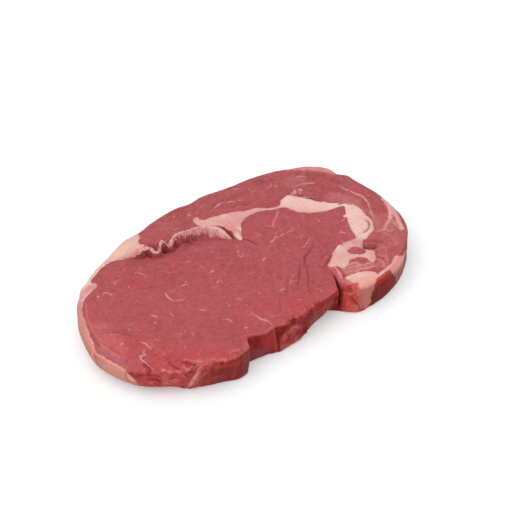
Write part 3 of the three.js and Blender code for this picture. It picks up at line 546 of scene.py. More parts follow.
# Stretches round the side, by how far round: where each begins, is full, thins and ends.
OPEN_SIDE = (292, 304, 404, 414)
HIGHLIT_RIM = (298, 306, 398, 403)
FRAYED_RIM = (362, 370, 404, 407)
FIRST_FRINGE = (296, 304, 328, 334)
THIRD_FRINGE = (362, 367, 400, 405)
ROUGH_WALL = (363, 367, 376, 384)
KERNEL_WALL = (403, 405, 411, 414)
COVERED_BACK = (20, 40, 205, 225)
WRINKLED_BACK = (14, 30, 195, 220)
BANDED_BACK = (14, 30, 215, 240)

# Round spots: the middle and how far they reach.
TORN_CORNER = {"x": -70, "y": -34, "reach": 12}
TORN_BESIDE = {"x": -59, "y": -38, "reach": 7}
TORN_BULGE = {"x": 4, "y": -45, "reach": 8}
SEAM_SHREDS = {"x": 13.5, "y": 25, "reach": 4.5}
CLEFT_HOLLOW = {"x": 28.8, "y": -37.8, "reach": 2.9}
TAIL_MIDDLE = {"x": 74, "y": -26, "reach": 15}
CLEFT_WALL = [(31.4, -38), (33, -33), (34.8, -27)]

# Layers of noise: how high, how large and the seed of each.
RIM_NOTCHES = [(0.45, 3.1, 12), (0.35, 1.3, 13)]
TORN_CRAGS = [(0.9, 4.6, 3), (0.6, 2.1, 4), (0.25, 1.1, 5)]
ROUGH_CRAGS = [(0.8, 3.2, 65), (0.5, 1.5, 66)]
ROUGH_TINTS = [(1, 3.2, 65), (0.5, 1.5, 66)]
SIDE_LUMPS = [(0.22, 3.4, 6), (0.12, 1.6, 7)]
BACK_LUMPS = [(0.3, 6, 68), (0.15, 2, 69)]
FACE_LUMPS = [(0.14, 5.5, 8), (0.08, 2.4, 9), (0.04, 1.2, 15)]
FAT_LUMPS = [(0.22, 3, 10), (0.1, 1.5, 11)]
SHREDS = [(0.8, 1.5, 63), (0.8, 0.8, 64)]
TORN_SHREDS = [(1, 2.6, 27), (0.6, 1.2, 28)]
BACK_FAT = [(1, 9, 31), (0.5, 3.5, 32)]
BACK_EDGE = [(5, 7, 35), (2, 2.6, 36)]
RAGGED_TINTS = [(0.5, 1.6, 61), (0.3, 0.8, 62)]
MEMBRANE_RIPPLE = [(0.2, 1.3, 71), (0.14, 0.6, 72)]
MEMBRANE_STRIPES = [(0.6, 0.8, 73), (0.5, 0.4, 74)]
MEMBRANE_HEM = [(0.14, 2.1, 75), (0.16, 0.8, 76)]
SINEW_TINTS = [(0.16, 1.3, 81), (0.1, 0.6, 82)]

# What is strewn by chance: how many, and the seed.
THREADS = (400, 17)
FIBRES = 85
SHORT_SHREDS = 40
FIBRE_SEED = 23

# How deep what is finer than the solid's relief goes.
FACE_BUNDLES = 0.55
SEAM_SUNK = 0.22
CREVICE_SUNK = 2.0
SLIT_SUNK = 1.9
WRINKLES = 0.35


def smooth(value, low, high):
    """0 below low, 1 above high and a soft step between."""
    share = np.clip((value - low) / (high - low), 0, 1)
    return share * share * (3 - 2 * share)


def mix(first, second, share):
    return first + (second - first) * share


def between(value, stretch):
    """1 in a stretch and 0 outside it, with a soft step at both ends."""
    begins, full, thins, ends = stretch
    return smooth(value, begins, full) * (1 - smooth(value, thins, ends))


def look_up(table, at):
    """Reads a table of rows, and goes straight from one row to the next."""
    return np.interp(at, *zip(*table))


def near(plan, spot):
    """1 at a spot, and fading with the distance from it."""
    away = np.hypot(plan[:, 0] - spot["x"], plan[:, 1] - spot["y"]) / spot["reach"]
    return np.exp(-away * away)


def spline(landmarks, count, closed=False):
    """Evenly spaced points of the centripetal Catmull-Rom curve through some landmarks."""
    nodes = np.asarray(landmarks, float)
    if closed:
        nodes = np.vstack([nodes[-1:], nodes, nodes[:2]])
    else:
        nodes = np.vstack([2 * nodes[0] - nodes[1], nodes, 2 * nodes[-1] - nodes[-2]])
    share = np.linspace(0, 1, 16, endpoint=False)[:, None]
    curve = []
    for before, start, end, after in zip(nodes, nodes[1:], nodes[2:], nodes[3:]):
        pairs = ((before, start), (start, end), (end, after))
        gaps = [math.sqrt(max(np.linalg.norm(b - a), 1e-6)) for a, b in pairs]
        leave = gaps[1] * (
            (start - before) / gaps[0] - (end - before) / (gaps[0] + gaps[1]) + (end - start) / gaps[1]
        )
        reach = gaps[1] * (
            (end - start) / gaps[1] - (after - start) / (gaps[1] + gaps[2]) + (after - end) / gaps[2]
        )
        curve.append(
            (2 * share**3 - 3 * share**2 + 1) * start + (share**3 - 2 * share**2 + share) * leave
            + (3 * share**2 - 2 * share**3) * end + (share**3 - share**2) * reach
        )
    curve = np.vstack([*curve, nodes[-2]])
    run = np.concatenate([[0], np.cumsum(np.linalg.norm(np.diff(curve, axis=0), axis=1))])
    stops = np.linspace(0, run[-1], count, endpoint=not closed)
    return np.stack([np.interp(stops, run, column) for column in curve.T], -1)


def measure(points, line):
    """How far each point is from a line, how far to the left of it, and how far along it."""
    gap = np.full(len(points), np.inf)
    left = np.zeros(len(points))
    along = np.zeros(len(points))
    run = 0.0
    for start, end in zip(line[:-1], line[1:]):
        step = end - start
        length = np.hypot(*step)
        to = points - start
        share = np.clip(to @ step / length**2, 0, 1)
        away = np.hypot(to[:, 0] - share * step[0], to[:, 1] - share * step[1])
        closer = away < gap
        gap[closer] = away[closer]
        left[closer] = ((step[0] * to[:, 1] - step[1] * to[:, 0]) / length)[closer]
        along[closer] = run + share[closer] * length
        run += length
    return gap, left, along


def depth_inside(points, landmarks, reach=6):
    """How far each point lies inside a closed outline, negative outside, and no less than -reach."""
    loop = spline(landmarks, 4 * len(landmarks), closed=True)
    loop = np.vstack([loop, loop[:1]])
    depth = np.full(len(points), -float(reach))
    picked = np.all((points > loop.min(0) - reach) & (points < loop.max(0) + reach), axis=1)
    spots = points[picked]
    gap, _, _ = measure(spots, loop)
    inside = np.zeros(len(spots), bool)
    for start, end in zip(loop[:-1], loop[1:]):
        if start[1] == end[1]:
            continue
        crosses = (start[1] > spots[:, 1]) != (end[1] > spots[:, 1])
        at = start[0] + (spots[:, 1] - start[1]) / (end[1] - start[1]) * (end[0] - start[0])
        inside ^= crosses & (spots[:, 0] < at)
    depth[picked] = np.maximum(np.where(inside, gap, -gap), -reach)
    return depth


def lumps(points, size, seed):
    """Smooth noise from -1 to 1, with lumps of about a size across."""
    cells = points / size
    base = np.floor(cells).astype(np.int64)
    part = cells - base
    ease = part * part * (3 - 2 * part)
    primes = np.array([73856093, 19349663, 83492791])[: points.shape[1]]
    total = np.zeros(len(points))
    for corner in itertools.product((0, 1), repeat=points.shape[1]):
        mixed = ((base + corner) * primes).sum(axis=1) + seed * 2654435
        mixed = (mixed ^ (mixed >> 13)) * 1274126177 & 0x7FFFFFFF
        mixed = (mixed ^ (mixed >> 15)) * 2246822519 & 0x7FFFFFFF
        weight = np.prod(np.where(corner, ease, 1 - ease), axis=1)
        total += weight * (mixed / 0x3FFFFFFF - 1)
    return total


def crags(points, size, seed):
    """Noise with sharp ridges, from 0 in the hollows to 1 on the ridges."""
    return (1 - np.abs(lumps(points, size, seed))) ** 2


def layered(points, layers, kind=lumps):
    """The sum of some layers of noise."""
    return sum(high * kind(points, size, seed) for high, size, seed in layers)


# The cut face's relief, the same as in the solid.

def step_relief(plan):
    """The relief of the step at each point, and how far beyond its foot the point lies."""
    _, beyond, _ = measure(plan, spline(STEP_FOOT, 60))
    along = plan[:, 0]
    dip = -STEP_DIP * (1 - smooth(along, *DIP_TO)) * np.exp(-((np.minimum(beyond, 0) / DIP_REACH) ** 2))
    fade = np.exp(-np.maximum(beyond - STEP_WIDTH, 0) / RISE_REACH)
    rise = STEP_RISE * (1 - smooth(along, *RISE_TO)) * fade
    return smooth(along, *STEP_FROM) * mix(dip, rise, smooth(beyond, 0, STEP_WIDTH)), beyond


def swell(plan):
    """The soft swell of the whole cut face."""
    x, y = plan.T
    return 0.4 * np.sin(x / 21 + 0.7) * np.cos(y / 15 - 0.5) + 0.2 * np.sin((x - 1.6 * y) / 9)


def face_relief(plan):
    step, _ = step_relief(plan)
    return swell(plan) + step + KERNEL["rise"] * near(plan, KERNEL)


# The blank of the meat.

def drawn(rings):
    """A closed bmesh through rings of points: a circle first, and each further one extruded from the last."""
    shape = bmesh.new()
    column = shape.verts.layers.int.new("column")
    ring = bmesh.ops.create_circle(shape, cap_ends=True, segments=len(rings[0]), radius=1)["verts"]
    for number, vert in enumerate(ring):
        vert[column] = number
        vert.co = rings[0][number]
    edges = list(shape.edges)
    for points in rings[1:]:
        made = bmesh.ops.extrude_edge_only(shape, edges=edges)["geom"]
        edges = [part for part in made if isinstance(part, bmesh.types.BMEdge)]
        for vert in (part for part in made if isinstance(part, bmesh.types.BMVert)):
            vert.co = points[vert[column]]
    bmesh.ops.contextual_create(shape, geom=edges)
    bmesh.ops.recalc_face_normals(shape, faces=shape.faces)
    return shape


def piece_from(shape, name):
    mesh = bpy.data.meshes.new(name)
    shape.to_mesh(mesh)
    shape.free()
    piece = bpy.data.objects.new(name, mesh)
    bpy.context.scene.collection.objects.link(piece)
    return piece


def apply_modifiers(piece):
    graph = bpy.context.evaluated_depsgraph_get()
    finished = bpy.data.meshes.new_from_object(piece.evaluated_get(graph))
    piece.modifiers.clear()
    piece.data = finished


def slab_rings():
    """The rows up the side, each a ring of points round the outline."""
    rims = spline(OUTLINE, COLUMNS, closed=True)
    edge = rims[:, :2]

    def spread(x, y, reach):
        return near(edge, {"x": x, "y": y, "reach": reach})

    drawn_out = sum(np.outer(spread(*spot), (right, back)) for *spot, right, back in CORNERS)
    arc = np.concatenate([[0], np.cumsum(np.linalg.norm(np.diff(edge, axis=0), axis=1))])
    open_side = between(arc, OPEN_SIDE)
    rim = mix(RIM_ROUND, RIM_CRISP, open_side)
    ragged = open_side * layered(np.stack([arc, arc], -1), RIM_NOTCHES)
    tuck = rims[:, 2] - sum(far * spread(*spot) for *spot, far in FEET)
    middle = np.stack([np.clip(edge[:, 0] * 0.6, -SPINE_HALF, SPINE_HALF), np.full(COLUMNS, SPINE_Y)], -1)
    inward = middle - edge
    inward /= np.linalg.norm(inward, axis=1)[:, None]
    share = near(edge, SHOULDER)
    wide = rim + SHOULDER["wider"] * share
    deep = rim + SHOULDER["deeper"] * share
    rows = []
    for turn in np.linspace(0, math.pi / 2, FOOT_ROWS):
        low = np.full(COLUMNS, FOOT_ROUND * (1 - math.cos(turn)))
        rows.append((tuck + FOOT_ROUND * (1 - math.sin(turn)), low))
    for up in np.linspace(0, 1, WALL_ROWS)[1:-1]:
        rows.append((tuck * (1 - up) ** 2, mix(FOOT_ROUND, THICKNESS - deep, up)))
    for turn in np.linspace(0, math.pi / 2, RIM_ROWS):
        rows.append((wide * (1 - math.cos(turn)), THICKNESS - deep * (1 - math.sin(turn))))
    frayed = 0.8 * between(arc, FRAYED_RIM)
    rings = []
    for inset, height in rows:
        shreds = lumps(np.stack([arc / 1.7, height / 1.2], -1), 1, 16)
        inset = inset + frayed * smooth(height, 14, 17.5) * shreds
        inset = inset + ragged * smooth(height, 12, 17)
        moved = drawn_out * mix(FOOT_FOLLOWS, 1, height / THICKNESS)[:, None]
        rings.append(np.column_stack([edge + moved + inward * inset[:, None], height]))
    return rings


def cleft_blade():
    """What is cut out of the slab for the cleft, wider at the rim and narrower at the foot of its mouth."""
    line = spline(CLEFT, 48)
    turn = np.gradient(line, axis=0)
    outward = np.stack([-turn[:, 1], turn[:, 0]], -1)
    outward /= np.linalg.norm(outward, axis=1)[:, None]
    mouth = smooth(-line[:, 1], *CLEFT_MOUTH)[:, None]
    rings = []
    for height, wider in CLEFT_FLARE:
        edge = line + outward * (wider if wider > 0 else wider * mouth)
        rings.append(np.column_stack([edge, np.full(len(line), height)]))
    return piece_from(drawn(rings), "cleft_blade")


def meat_blank():
    """The slab with its cleft, as an even mesh of small faces."""
    meat = piece_from(drawn(slab_rings()), "meat")
    blade = cleft_blade()
    cut = meat.modifiers.new("cleft", "BOOLEAN")
    cut.object = blade
    cut.operation = "DIFFERENCE"
    cut.solver = "EXACT"
    grid = meat.modifiers.new("grid", "REMESH")
    grid.mode = "VOXEL"
    grid.voxel_size = VOXEL
    apply_modifiers(meat)
    bpy.data.objects.remove(blade)
    return meat


class Skin:
    """Every vertex of the meat: its place, which way it faces, and how far round the side it lies."""

    def __init__(self, mesh):
        count = len(mesh.vertices)
        self.place = np.empty(3 * count)
        mesh.vertices.foreach_get("co", self.place)
        self.place = self.place.reshape(-1, 3)
        self.faces = self.look(mesh)
        self.plan = self.place[:, :2].copy()
        self.height = self.place[:, 2].copy()
        self.top = smooth(self.faces[:, 2], 0.3, 0.8)
        self.bottom = smooth(-self.faces[:, 2], 0.6, 0.95) * (self.height < 3)
        self.side = np.clip(1 - self.top - self.bottom, 0, 1)
        self.above = smooth(self.faces[:, 2], 0.1, 0.4)
        self.low = np.clip(1 - smooth(self.faces[:, 2], 0.75, 0.95) - self.bottom, 0, 1)
        rim = spline(OUTLINE, RIM_POINTS, closed=True)[:, :2]
        self.arc = np.full(count, -99.0)
        self.inset = np.full(count, 99.0)
        edge = np.abs(self.faces[:, 2]) < 0.97
        self.inset[edge], _, self.arc[edge] = measure(self.plan[edge], np.vstack([rim, rim[:1]]))
        self.rim_or_side = np.clip(self.side + (self.inset < 3) * (self.height > 12), 0, 1)
        self.border, _, self.ring = measure(self.plan, np.vstack([rim[::5], rim[:1]]))

    @staticmethod
    def look(mesh):
        normals = np.empty(3 * len(mesh.vertices))
        mesh.vertex_normals.foreach_get("vector", normals)
        return normals.reshape(-1, 3)

    def wall(self):
        """The side laid flat: how far round it each point lies, and its height."""
        return np.stack([self.arc, self.height], -1)


def threads(count, seed):
    """Fine threads strewn over the muscle, most of them along its grain: pale marbling and dark gaps."""
    chance = np.random.default_rng(seed)
    strokes = []
    for _ in range(count):
        start = np.array([176 * chance.random() ** 0.7 - 86, chance.uniform(-46, 58)])
        turn = GRAIN + chance.normal(0, 0.7)
        length = chance.uniform(1.0, 4.2)
        along = length * np.array([math.cos(turn), math.sin(turn)])
        across = chance.normal(0, 0.12) * np.array([-along[1], along[0]])
        pale = chance.uniform(0.1, 0.6) if chance.random() < 0.65 else -chance.uniform(0.15, 0.5)
        strokes.append((chance.uniform(0.2, 0.42), pale, [start, start + along / 2 + across, start + along]))
    return strokes


def stroke_fields(points, strokes, reach=1.8):
    """For each point: how far it is beside the nearest stroke, half the width there, and the strength."""
    offset = np.full(len(points), 9.0)
    half = np.full(len(points), -3.0)
    strength = np.zeros(len(points))
    nearest = np.full(len(points), float(reach))
    for width, pale, landmarks in strokes:
        line = spline(landmarks, 3 * len(landmarks) + 2)
        total = np.linalg.norm(np.diff(line, axis=0), axis=1).sum()
        boxed = (points > line.min(0) - reach) & (points < line.max(0) + reach)
        picked = np.flatnonzero(np.all(boxed, axis=1))
        gap, left, along = measure(points[picked], line)
        closer = gap < nearest[picked]
        hit = picked[closer]
        past = np.sqrt(np.maximum(gap**2 - left**2, 0))[closer]
        ends = np.minimum(along, total - along)[closer] / max(0.35 * total, 1e-6)
        nearest[hit] = gap[closer]
        offset[hit] = left[closer]
        uneven = 0.75 + 0.35 * lumps(points[hit], 1.1, 14)
        half[hit] = 0.75 * width * uneven * np.clip(0.1 + 0.9 * ends, 0, 1) - past
        strength[hit] = pale
    return offset, half, strength


def fat_depth(skin):
    """How far each point lies inside the fat, over the cut face and the side."""
    plan = skin.plan
    depth = depth_inside(plan, SEAM)
    for island in ISLANDS:
        depth = np.minimum(depth, -depth_inside(plan, island))
    for outline in (KERNEL_TOP, LEFT_FAT):
        depth = np.maximum(depth, depth_inside(plan, outline))
    for half, landmarks in FAT_BANDS:
        gap, _, _ = measure(plan, spline(landmarks, 12))
        depth = np.maximum(depth, half - gap)
    depth -= 5 * slit_share(skin)
    return mix(depth, side_fat(skin), skin.side)


def lean_streaks(skin):
    """Noise that is high where thin streaks of lean show in the fat of the back."""
    return lumps(np.stack([skin.arc / 13, skin.height / 3.4], -1), 1, 33) + 0.3 * lumps(skin.place, 2, 34)


def side_fat(skin):
    """How far each point of the side lies inside its fat."""
    wall = skin.wall()
    depth = np.full(len(wall), OUTSIDE)
    for outline in SIDE_FAT:
        depth = np.maximum(depth, depth_inside(wall, outline))
    depth += 0.7 * lumps(skin.place, 2.4, 37) * (skin.arc > 400)
    thick = layered(wall, BACK_FAT)
    behind = smooth(skin.arc + layered(skin.place, BACK_EDGE), 10, 24)
    depth = np.maximum(depth, mix(OUTSIDE, 2.0 + 1.2 * thick, behind * (skin.arc < 124)))
    depth -= 3.4 * between(skin.arc, COVERED_BACK) * smooth(lean_streaks(skin), 0.6, 1.0)
    end = smooth(skin.arc, 456, 466)
    return np.maximum(depth, np.where(end > 0, mix(OUTSIDE, 0.6 + 1.8 * thick, end), OUTSIDE))


def torn_share(skin):
    """Where the meat is torn along the open edge."""
    share = np.maximum(near(skin.plan, TORN_CORNER), 0.7 * near(skin.plan, TORN_BESIDE))
    share = np.maximum(share, 0.55 * skin.side * near(skin.plan, TORN_BULGE))
    return np.clip(share * 1.4, 0, 1) * (1 - skin.bottom)


def cut_depths(points, cuts):
    """How deep the creases or grooves are at each point."""
    depths = np.zeros(len(points))
    for deep, half, landmarks in cuts:
        gap, _, _ = measure(points, spline(landmarks, 14))
        depths = np.maximum(depths, deep * np.exp(-((gap / half) ** 2)))
    return depths


def crease_depths(skin):
    return cut_depths(skin.plan, CREASES) * skin.top


def groove_depths(skin):
    return cut_depths(skin.wall(), GROOVES) * skin.rim_or_side


def fringe_share(skin):
    """The ragged rim of the lobes on the open side."""
    third = between(skin.ring, THIRD_FRINGE) * (1 - 0.8 * smooth(skin.ring, 384, 392))
    first = 0.75 * between(skin.ring, FIRST_FRINGE)
    return np.maximum(third, first) * smooth(skin.border, 3.4, 1.2) * smooth(skin.height, 13, 16)


def rough_wall_share(skin):
    """The rough wall of the third lobe."""
    return skin.side * between(skin.arc, ROUGH_WALL)


def shred_share(skin):
    """Where the meat is so torn that its fibres show as fine crumbs."""
    kernel = skin.side * between(skin.arc, KERNEL_WALL)
    tears = np.maximum(0.55 * torn_share(skin), 0.8 * fringe_share(skin))
    tears = np.maximum(tears, np.maximum(rough_wall_share(skin), 0.6 * kernel))
    tears = np.maximum(tears, 0.7 * skin.top * near(skin.plan, SEAM_SHREDS))
    return np.maximum(tears, 0.8 * crevice_share(skin))


def crevice_share(skin):
    """The hollow under the membrane, at the foot of the step: how far it is sunk, and how strong its painted
    shade.
    """
    gap, _, along = measure(skin.plan, spline([(x, y - 0.4) for _, _, x, y in FOLDS[:-2]], 90))
    width = 1.9 + 0.6 * lumps(np.stack([along, along], -1), 2.6, 5)
    dark = look_up(CREVICE_DARK, skin.plan[:, 0]) * (0.9 + 0.35 * lumps(skin.plan, 1.3, 4))
    return dark * np.exp(-((gap / width) ** 2)) * skin.top


def slit_share(skin):
    """The slit between the membrane's right end and the tip of the seam."""
    gap, _, _ = measure(skin.plan, spline(SLIT, 16))
    return np.exp(-((gap / 0.65) ** 2)) * skin.top


def carve(meat, fat):
    """Moves the skin of the blank out and in: the solid's relief first, then what is finer."""
    mesh = meat.data
    skin = Skin(mesh)
    place = skin.place
    plan = skin.plan
    x, y = plan.T
    lift = np.clip((skin.height - FOOT_ROUND) / (THICKNESS - 2 * FOOT_ROUND), 0, 1)
    place[:, 2] += lift * face_relief(plan)
    up = skin.height / THICKNESS
    bundles = np.sin(x / 5.2 + y / 8) + 0.6 * np.sin(y / 4.1 - x / 9 + 2 * up)
    out = skin.side * FACE_BUNDLES * np.sin(math.pi * np.clip(up, 0, 1)) * (0.25 + 0.5 * bundles)
    torn = torn_share(skin)
    out += torn * (layered(place, TORN_CRAGS, crags) - 0.9)
    out += skin.side * layered(place, SIDE_LUMPS) * (1 - torn)
    face = skin.top * (1 - torn)
    out += face * layered(plan, FACE_LUMPS)
    wrinkles = lumps(np.stack([skin.arc / 8, skin.height / 2.4], -1), 1, 67)
    wrinkled = skin.side * between(skin.arc, WRINKLED_BACK)
    out += wrinkled * (WRINKLES * wrinkles + layered(place, BACK_LUMPS))
    seam = np.exp(-((fat / 0.9) ** 2))
    out += face * (smooth(fat, 0.2, 1.6) * layered(plan, FAT_LUMPS) - SEAM_SUNK * seam)
    out -= crease_depths(skin) + groove_depths(skin)
    out += fringe_share(skin) * layered(place, SHREDS)
    rough = rough_wall_share(skin) * smooth(skin.height, 1.5, 5)
    out += rough * (layered(place, ROUGH_CRAGS, crags) - 0.7)
    place += skin.faces * out[:, None]
    place[:, 2] -= CREVICE_SUNK * crevice_share(skin) + SLIT_SUNK * slit_share(skin)
    place[:, 2] = np.where(skin.bottom > 0.5, skin.height, np.maximum(place[:, 2], 0))
    mesh.vertices.foreach_set("co", place.ravel())
    mesh.update()
    return skin


def paint(mesh, name, kind, values):
    """Writes one value a vertex into an attribute of the mesh."""
    layer = mesh.attributes.new(name, kind, "POINT")
    field = {"FLOAT": "value", "FLOAT_VECTOR": "vector", "FLOAT_COLOR": "color"}[kind]
    layer.data.foreach_set(field, np.ascontiguousarray(values, dtype=np.float32).ravel())


# Colours.

GRAIN = -0.66  # how far the grain of the muscle is turned from the length of the steak, in radians
LIGHT = 1.21  # what the stage's lights make of a white surface that faces up
GLOSS = 0.009  # what the moist skin adds to every colour
DARKEST = 0.002
# What the lights make of a white side: more where it faces left, less where it faces right or is tucked in.
SIDE_LIGHT = 1.06
LEFT_GAIN = 0.3
RIGHT_LOSS = 0.15
TUCKED_LOSS = 0.3
FACING_SPAN = 20  # how far to both sides the outline is looked at, to see which way it faces
# Painted shade in the bay before the cleft: more light is counted there, so its paint is divided down to
# darker.
SHADED_BAY = {"arc": 388, "reach": 7, "more": 0.2}  # the bay before the cleft is painted darker


def tone(red, green, blue, light=LIGHT):
    """The colour of a surface that looks so, from 0 to 255, under the stage's lights."""
    share = np.array([red, green, blue]) / 255
    linear = np.where(share <= 0.04045, share / 12.92, ((share + 0.055) / 1.055) ** 2.4)
    return np.maximum(linear - GLOSS, DARKEST) / light


def wall_light(arc):
    """What the stage's lights make of a white side, from the way that the outline faces there."""
    rim = spline(OUTLINE, RIM_POINTS, closed=True)
    steps = np.linalg.norm(np.diff(np.vstack([rim, rim[:1]])[:, :2], axis=0), axis=1)
    at = np.cumsum(steps) - steps
    span = round(FACING_SPAN * RIM_POINTS / steps.sum())
    chord = np.roll(rim, -span, axis=0) - np.roll(rim, span, axis=0)
    left = -chord[:, 1] / np.hypot(chord[:, 0], chord[:, 1])
    gain = np.where(left > 0, LEFT_GAIN, RIGHT_LOSS)
    light = SIDE_LIGHT + gain * left - TUCKED_LOSS * rim[:, 2] / THICKNESS
    light += SHADED_BAY["more"] * np.exp(-(((at - SHADED_BAY["arc"]) / SHADED_BAY["reach"]) ** 2))
    return np.where(np.asarray(arc) < 0, 1, np.interp(arc, at, light))


def wall_tone(red, green, blue):
    """The colour of a side that looks so where the light on it is 1."""
    return tone(red, green, blue, 1)


TONES = {
    "eye": tone(180, 88, 93),
    "cap": tone(176, 90, 93),
    "tail": tone(186, 101, 101),
    "flush": tone(188, 80, 82),
    # dusk: darker streaks and patches of the muscle, and painted shade in a hollow and a valley.
    "dusk": tone(164, 74, 78),
    # deep: painted shade in crevices, slits, creases, the cleft and between shreds, and dark patches in the
    # torn meat and by the kernel.
    "deep": tone(110, 16, 22),
    "film": tone(190, 130, 132),
    "veil": tone(214, 146, 144),
    "rose": tone(228, 136, 134),
    "ember": tone(196, 78, 76),
    "mauve": tone(172, 104, 108),
    "torn": tone(193, 83, 84),
    "pearl": tone(236, 178, 173),
    "blossom": tone(228, 150, 148),
    "peach": tone(238, 170, 158),
    "ivory": tone(242, 202, 192),
    "butter": tone(238, 204, 174),
    "tan": tone(208, 136, 126),
    "dusty": tone(218, 158, 154),
    "tissue": tone(213, 136, 134),
    # flare: painted highlights along rims and on shreds, and light red patches by the kernel.
    "flare": tone(214, 118, 114),
    "pink_fat": tone(234, 184, 179),
    "pale_fat": tone(242, 206, 192),
}
WALL_TONES = {
    "side": wall_tone(137, 46, 43),
    "shade": wall_tone(98, 26, 27),
    "bright": wall_tone(172, 66, 60),
    # plum is a painted sheen on the moist dark wall; silver is silver skin with a painted sheen.
    "plum": wall_tone(118, 56, 60),
    "silver": wall_tone(130, 74, 70),
    "slab": wall_tone(190, 112, 98),
    "blood": wall_tone(192, 80, 73),
    "wine": wall_tone(160, 44, 42),
    "clay": wall_tone(188, 104, 92),
    "ochre": wall_tone(182, 92, 72),
    "rust": wall_tone(156, 56, 42),
    "pale": wall_tone(210, 138, 128),
    "blush": wall_tone(232, 158, 146),
    "sand": wall_tone(208, 150, 128),
    "cream": wall_tone(232, 196, 172),
    "amber": wall_tone(204, 118, 92),
    "edge": wall_tone(186, 80, 76),
    "rib": wall_tone(176, 96, 90),
    "haze": wall_tone(196, 122, 122),
    "orange": wall_tone(204, 118, 88),
    "tail_fat": wall_tone(130, 82, 78),
    "back_fat": wall_tone(214, 162, 150),
    "left_fat": wall_tone(202, 140, 128),
    "front_fat": wall_tone(196, 130, 118),
    "kernel_fat": wall_tone(170, 110, 100),
}
# Which fat lies on the side, by how far round; between two places one turns into the other.
FAT_WALL = [
    (0, "tail_fat"), (20, "back_fat"), (215, "back_fat"), (240, "left_fat"), (282, "front_fat"),
    (412, "kernel_fat"), (424, "kernel_fat"), (446, "tail_fat"),
]


class Coat:
    """A colour for each point of the skin, and the ways to tint it."""

    def __init__(self, skin, name, ragged):
        self.colour = np.tile(TONES[name], (len(skin.plan), 1))
        self.lit = wall_light(skin.arc)[:, None]
        self.ragged = ragged

    def tint(self, name, share):
        goal = WALL_TONES[name] / self.lit if name in WALL_TONES else TONES[name]
        self.colour = mix(self.colour, goal, np.clip(share, 0, 1)[:, None])

    def tint_areas(self, areas, plane, weight):
        for name, share, soft, outline in areas:
            self.tint(name, share * weight * smooth(depth_inside(plane, outline) + self.ragged, -soft, soft))

    def tint_lines(self, lines, plane, weight, fray, outer, inner, widen=0.0):
        """Lines that fray, and fade from the inner to the outer distance round half their width."""
        for name, share, half, landmarks in lines:
            gap, _, _ = measure(plane, spline(landmarks, 4 * len(landmarks)))
            far, close = half + outer + widen * half, half - inner - widen * half
            self.tint(name, share * weight * smooth(gap + fray * self.ragged, far, close))


def flesh_colours(skin, blank):
    """The colours of the flesh; blank holds the places before the skin was carved."""
    plan, place = skin.plan, skin.place
    wall = skin.wall()
    coat = Coat(skin, "eye", layered(place, RAGGED_TINTS))
    tint = coat.tint
    _, beyond = step_relief(plan)
    cap = smooth(beyond, 0, 3) * smooth(-depth_inside(plan, EYE_BEHIND, 9), -1, 1)
    tint("cap", 0.9 * cap)
    grain = np.stack([skin.ring / 16, skin.border / 1.7], -1)
    streaks = lumps(grain, 1, 23) + 0.5 * lumps(grain * 2.1, 1, 24)
    tint("dusk", 0.6 * cap * smooth(streaks, 0, 0.8))
    tint("tail", 0.35 * cap * smooth(-streaks, 0.3, 1))
    tint("flush", 0.3 * cap * smooth(-streaks, 0, 0.9))
    tint("tail", 0.75 * near(plan, TAIL_MIDDLE))
    tint("dusk", 0.3 * smooth(lumps(plan, 15, 21), 0, 0.8))
    tint("flush", 0.3 * smooth(lumps(plan, 12, 22), 0, 0.8))

    # The side.
    tint("side", skin.side)
    streaks = lumps(np.stack([skin.arc / 1.6, skin.height / 7], -1), 1, 25) + 0.5 * lumps(place, 1.8, 26)
    tint("shade", 0.55 * skin.side * smooth(streaks, 0, 1))
    tint("clay", 0.45 * rough_wall_share(skin) * smooth(layered(place, ROUGH_TINTS, crags), 0.8, 1.3))
    tint("bright", 0.4 * skin.side * smooth(-streaks, 0, 1))

    # What is torn.
    torn = torn_share(skin)
    shreds = layered(place, TORN_SHREDS)
    tint("torn", 0.9 * torn)
    tint("ember", 0.55 * torn * smooth(shreds, 0.15, 0.8))
    tint("deep", 0.35 * torn * smooth(-shreds, 0.3, 1))
    tint("veil", 0.4 * torn * smooth(lumps(place, 1.9, 29), 0.3, 0.9))
    # A painted highlight along the rim of the open side.
    rim = between(skin.ring, HIGHLIT_RIM) * smooth(skin.border + 0.5 * coat.ragged, 1.9, 0.6)
    tint("flare", 0.4 * skin.above * rim * smooth(coat.ragged, -0.5, 0.3))
    # On the ragged fringe: a painted highlight on the shreds that stand out, and painted shade between them.
    fringe = fringe_share(skin) * skin.above
    shreds = layered(blank, SHREDS)
    tint("ember", 0.9 * fringe * smooth(shreds, -0.5, 0.2))
    tint("flare", 0.6 * fringe * smooth(shreds, 0.15, 0.6))
    tint("deep", 0.55 * fringe * smooth(-shreds, 0.2, 0.7))

    # What is placed.
    coat.tint_areas(FACE_AREAS, plan, skin.above)
    coat.tint_areas(SIDE_AREAS, wall, skin.low)
    coat.tint_lines(FACE_LINES, plan, skin.above, 0.3, 0.35, 0.25)
    coat.tint_lines(SIDE_LINES, wall, skin.rim_or_side, 0.3, 0.35, 0.25)

    # Painted shade in what is hollow: the crevice, the slit, the creases, the grooves and the cleft.
    tint("deep", 1.1 * crevice_share(skin) * (0.85 + 0.5 * lumps(place, 1.4, 30)))
    tint("deep", 0.75 * slit_share(skin))
    tint("deep", np.clip(crease_depths(skin) * 0.5, 0, 0.6))
    tint("shade", np.clip(groove_depths(skin), 0, 0.8))
    gap, _, _ = measure(plan, spline(CLEFT_WALL, 12))
    tint("deep", 0.8 * np.exp(-((gap / 1.7) ** 2)) * smooth(-skin.height, -17.5, -13))
    tint("deep", 0.95 * near(plan, CLEFT_HOLLOW) * smooth(-skin.height, -10, -5))
    return coat.colour


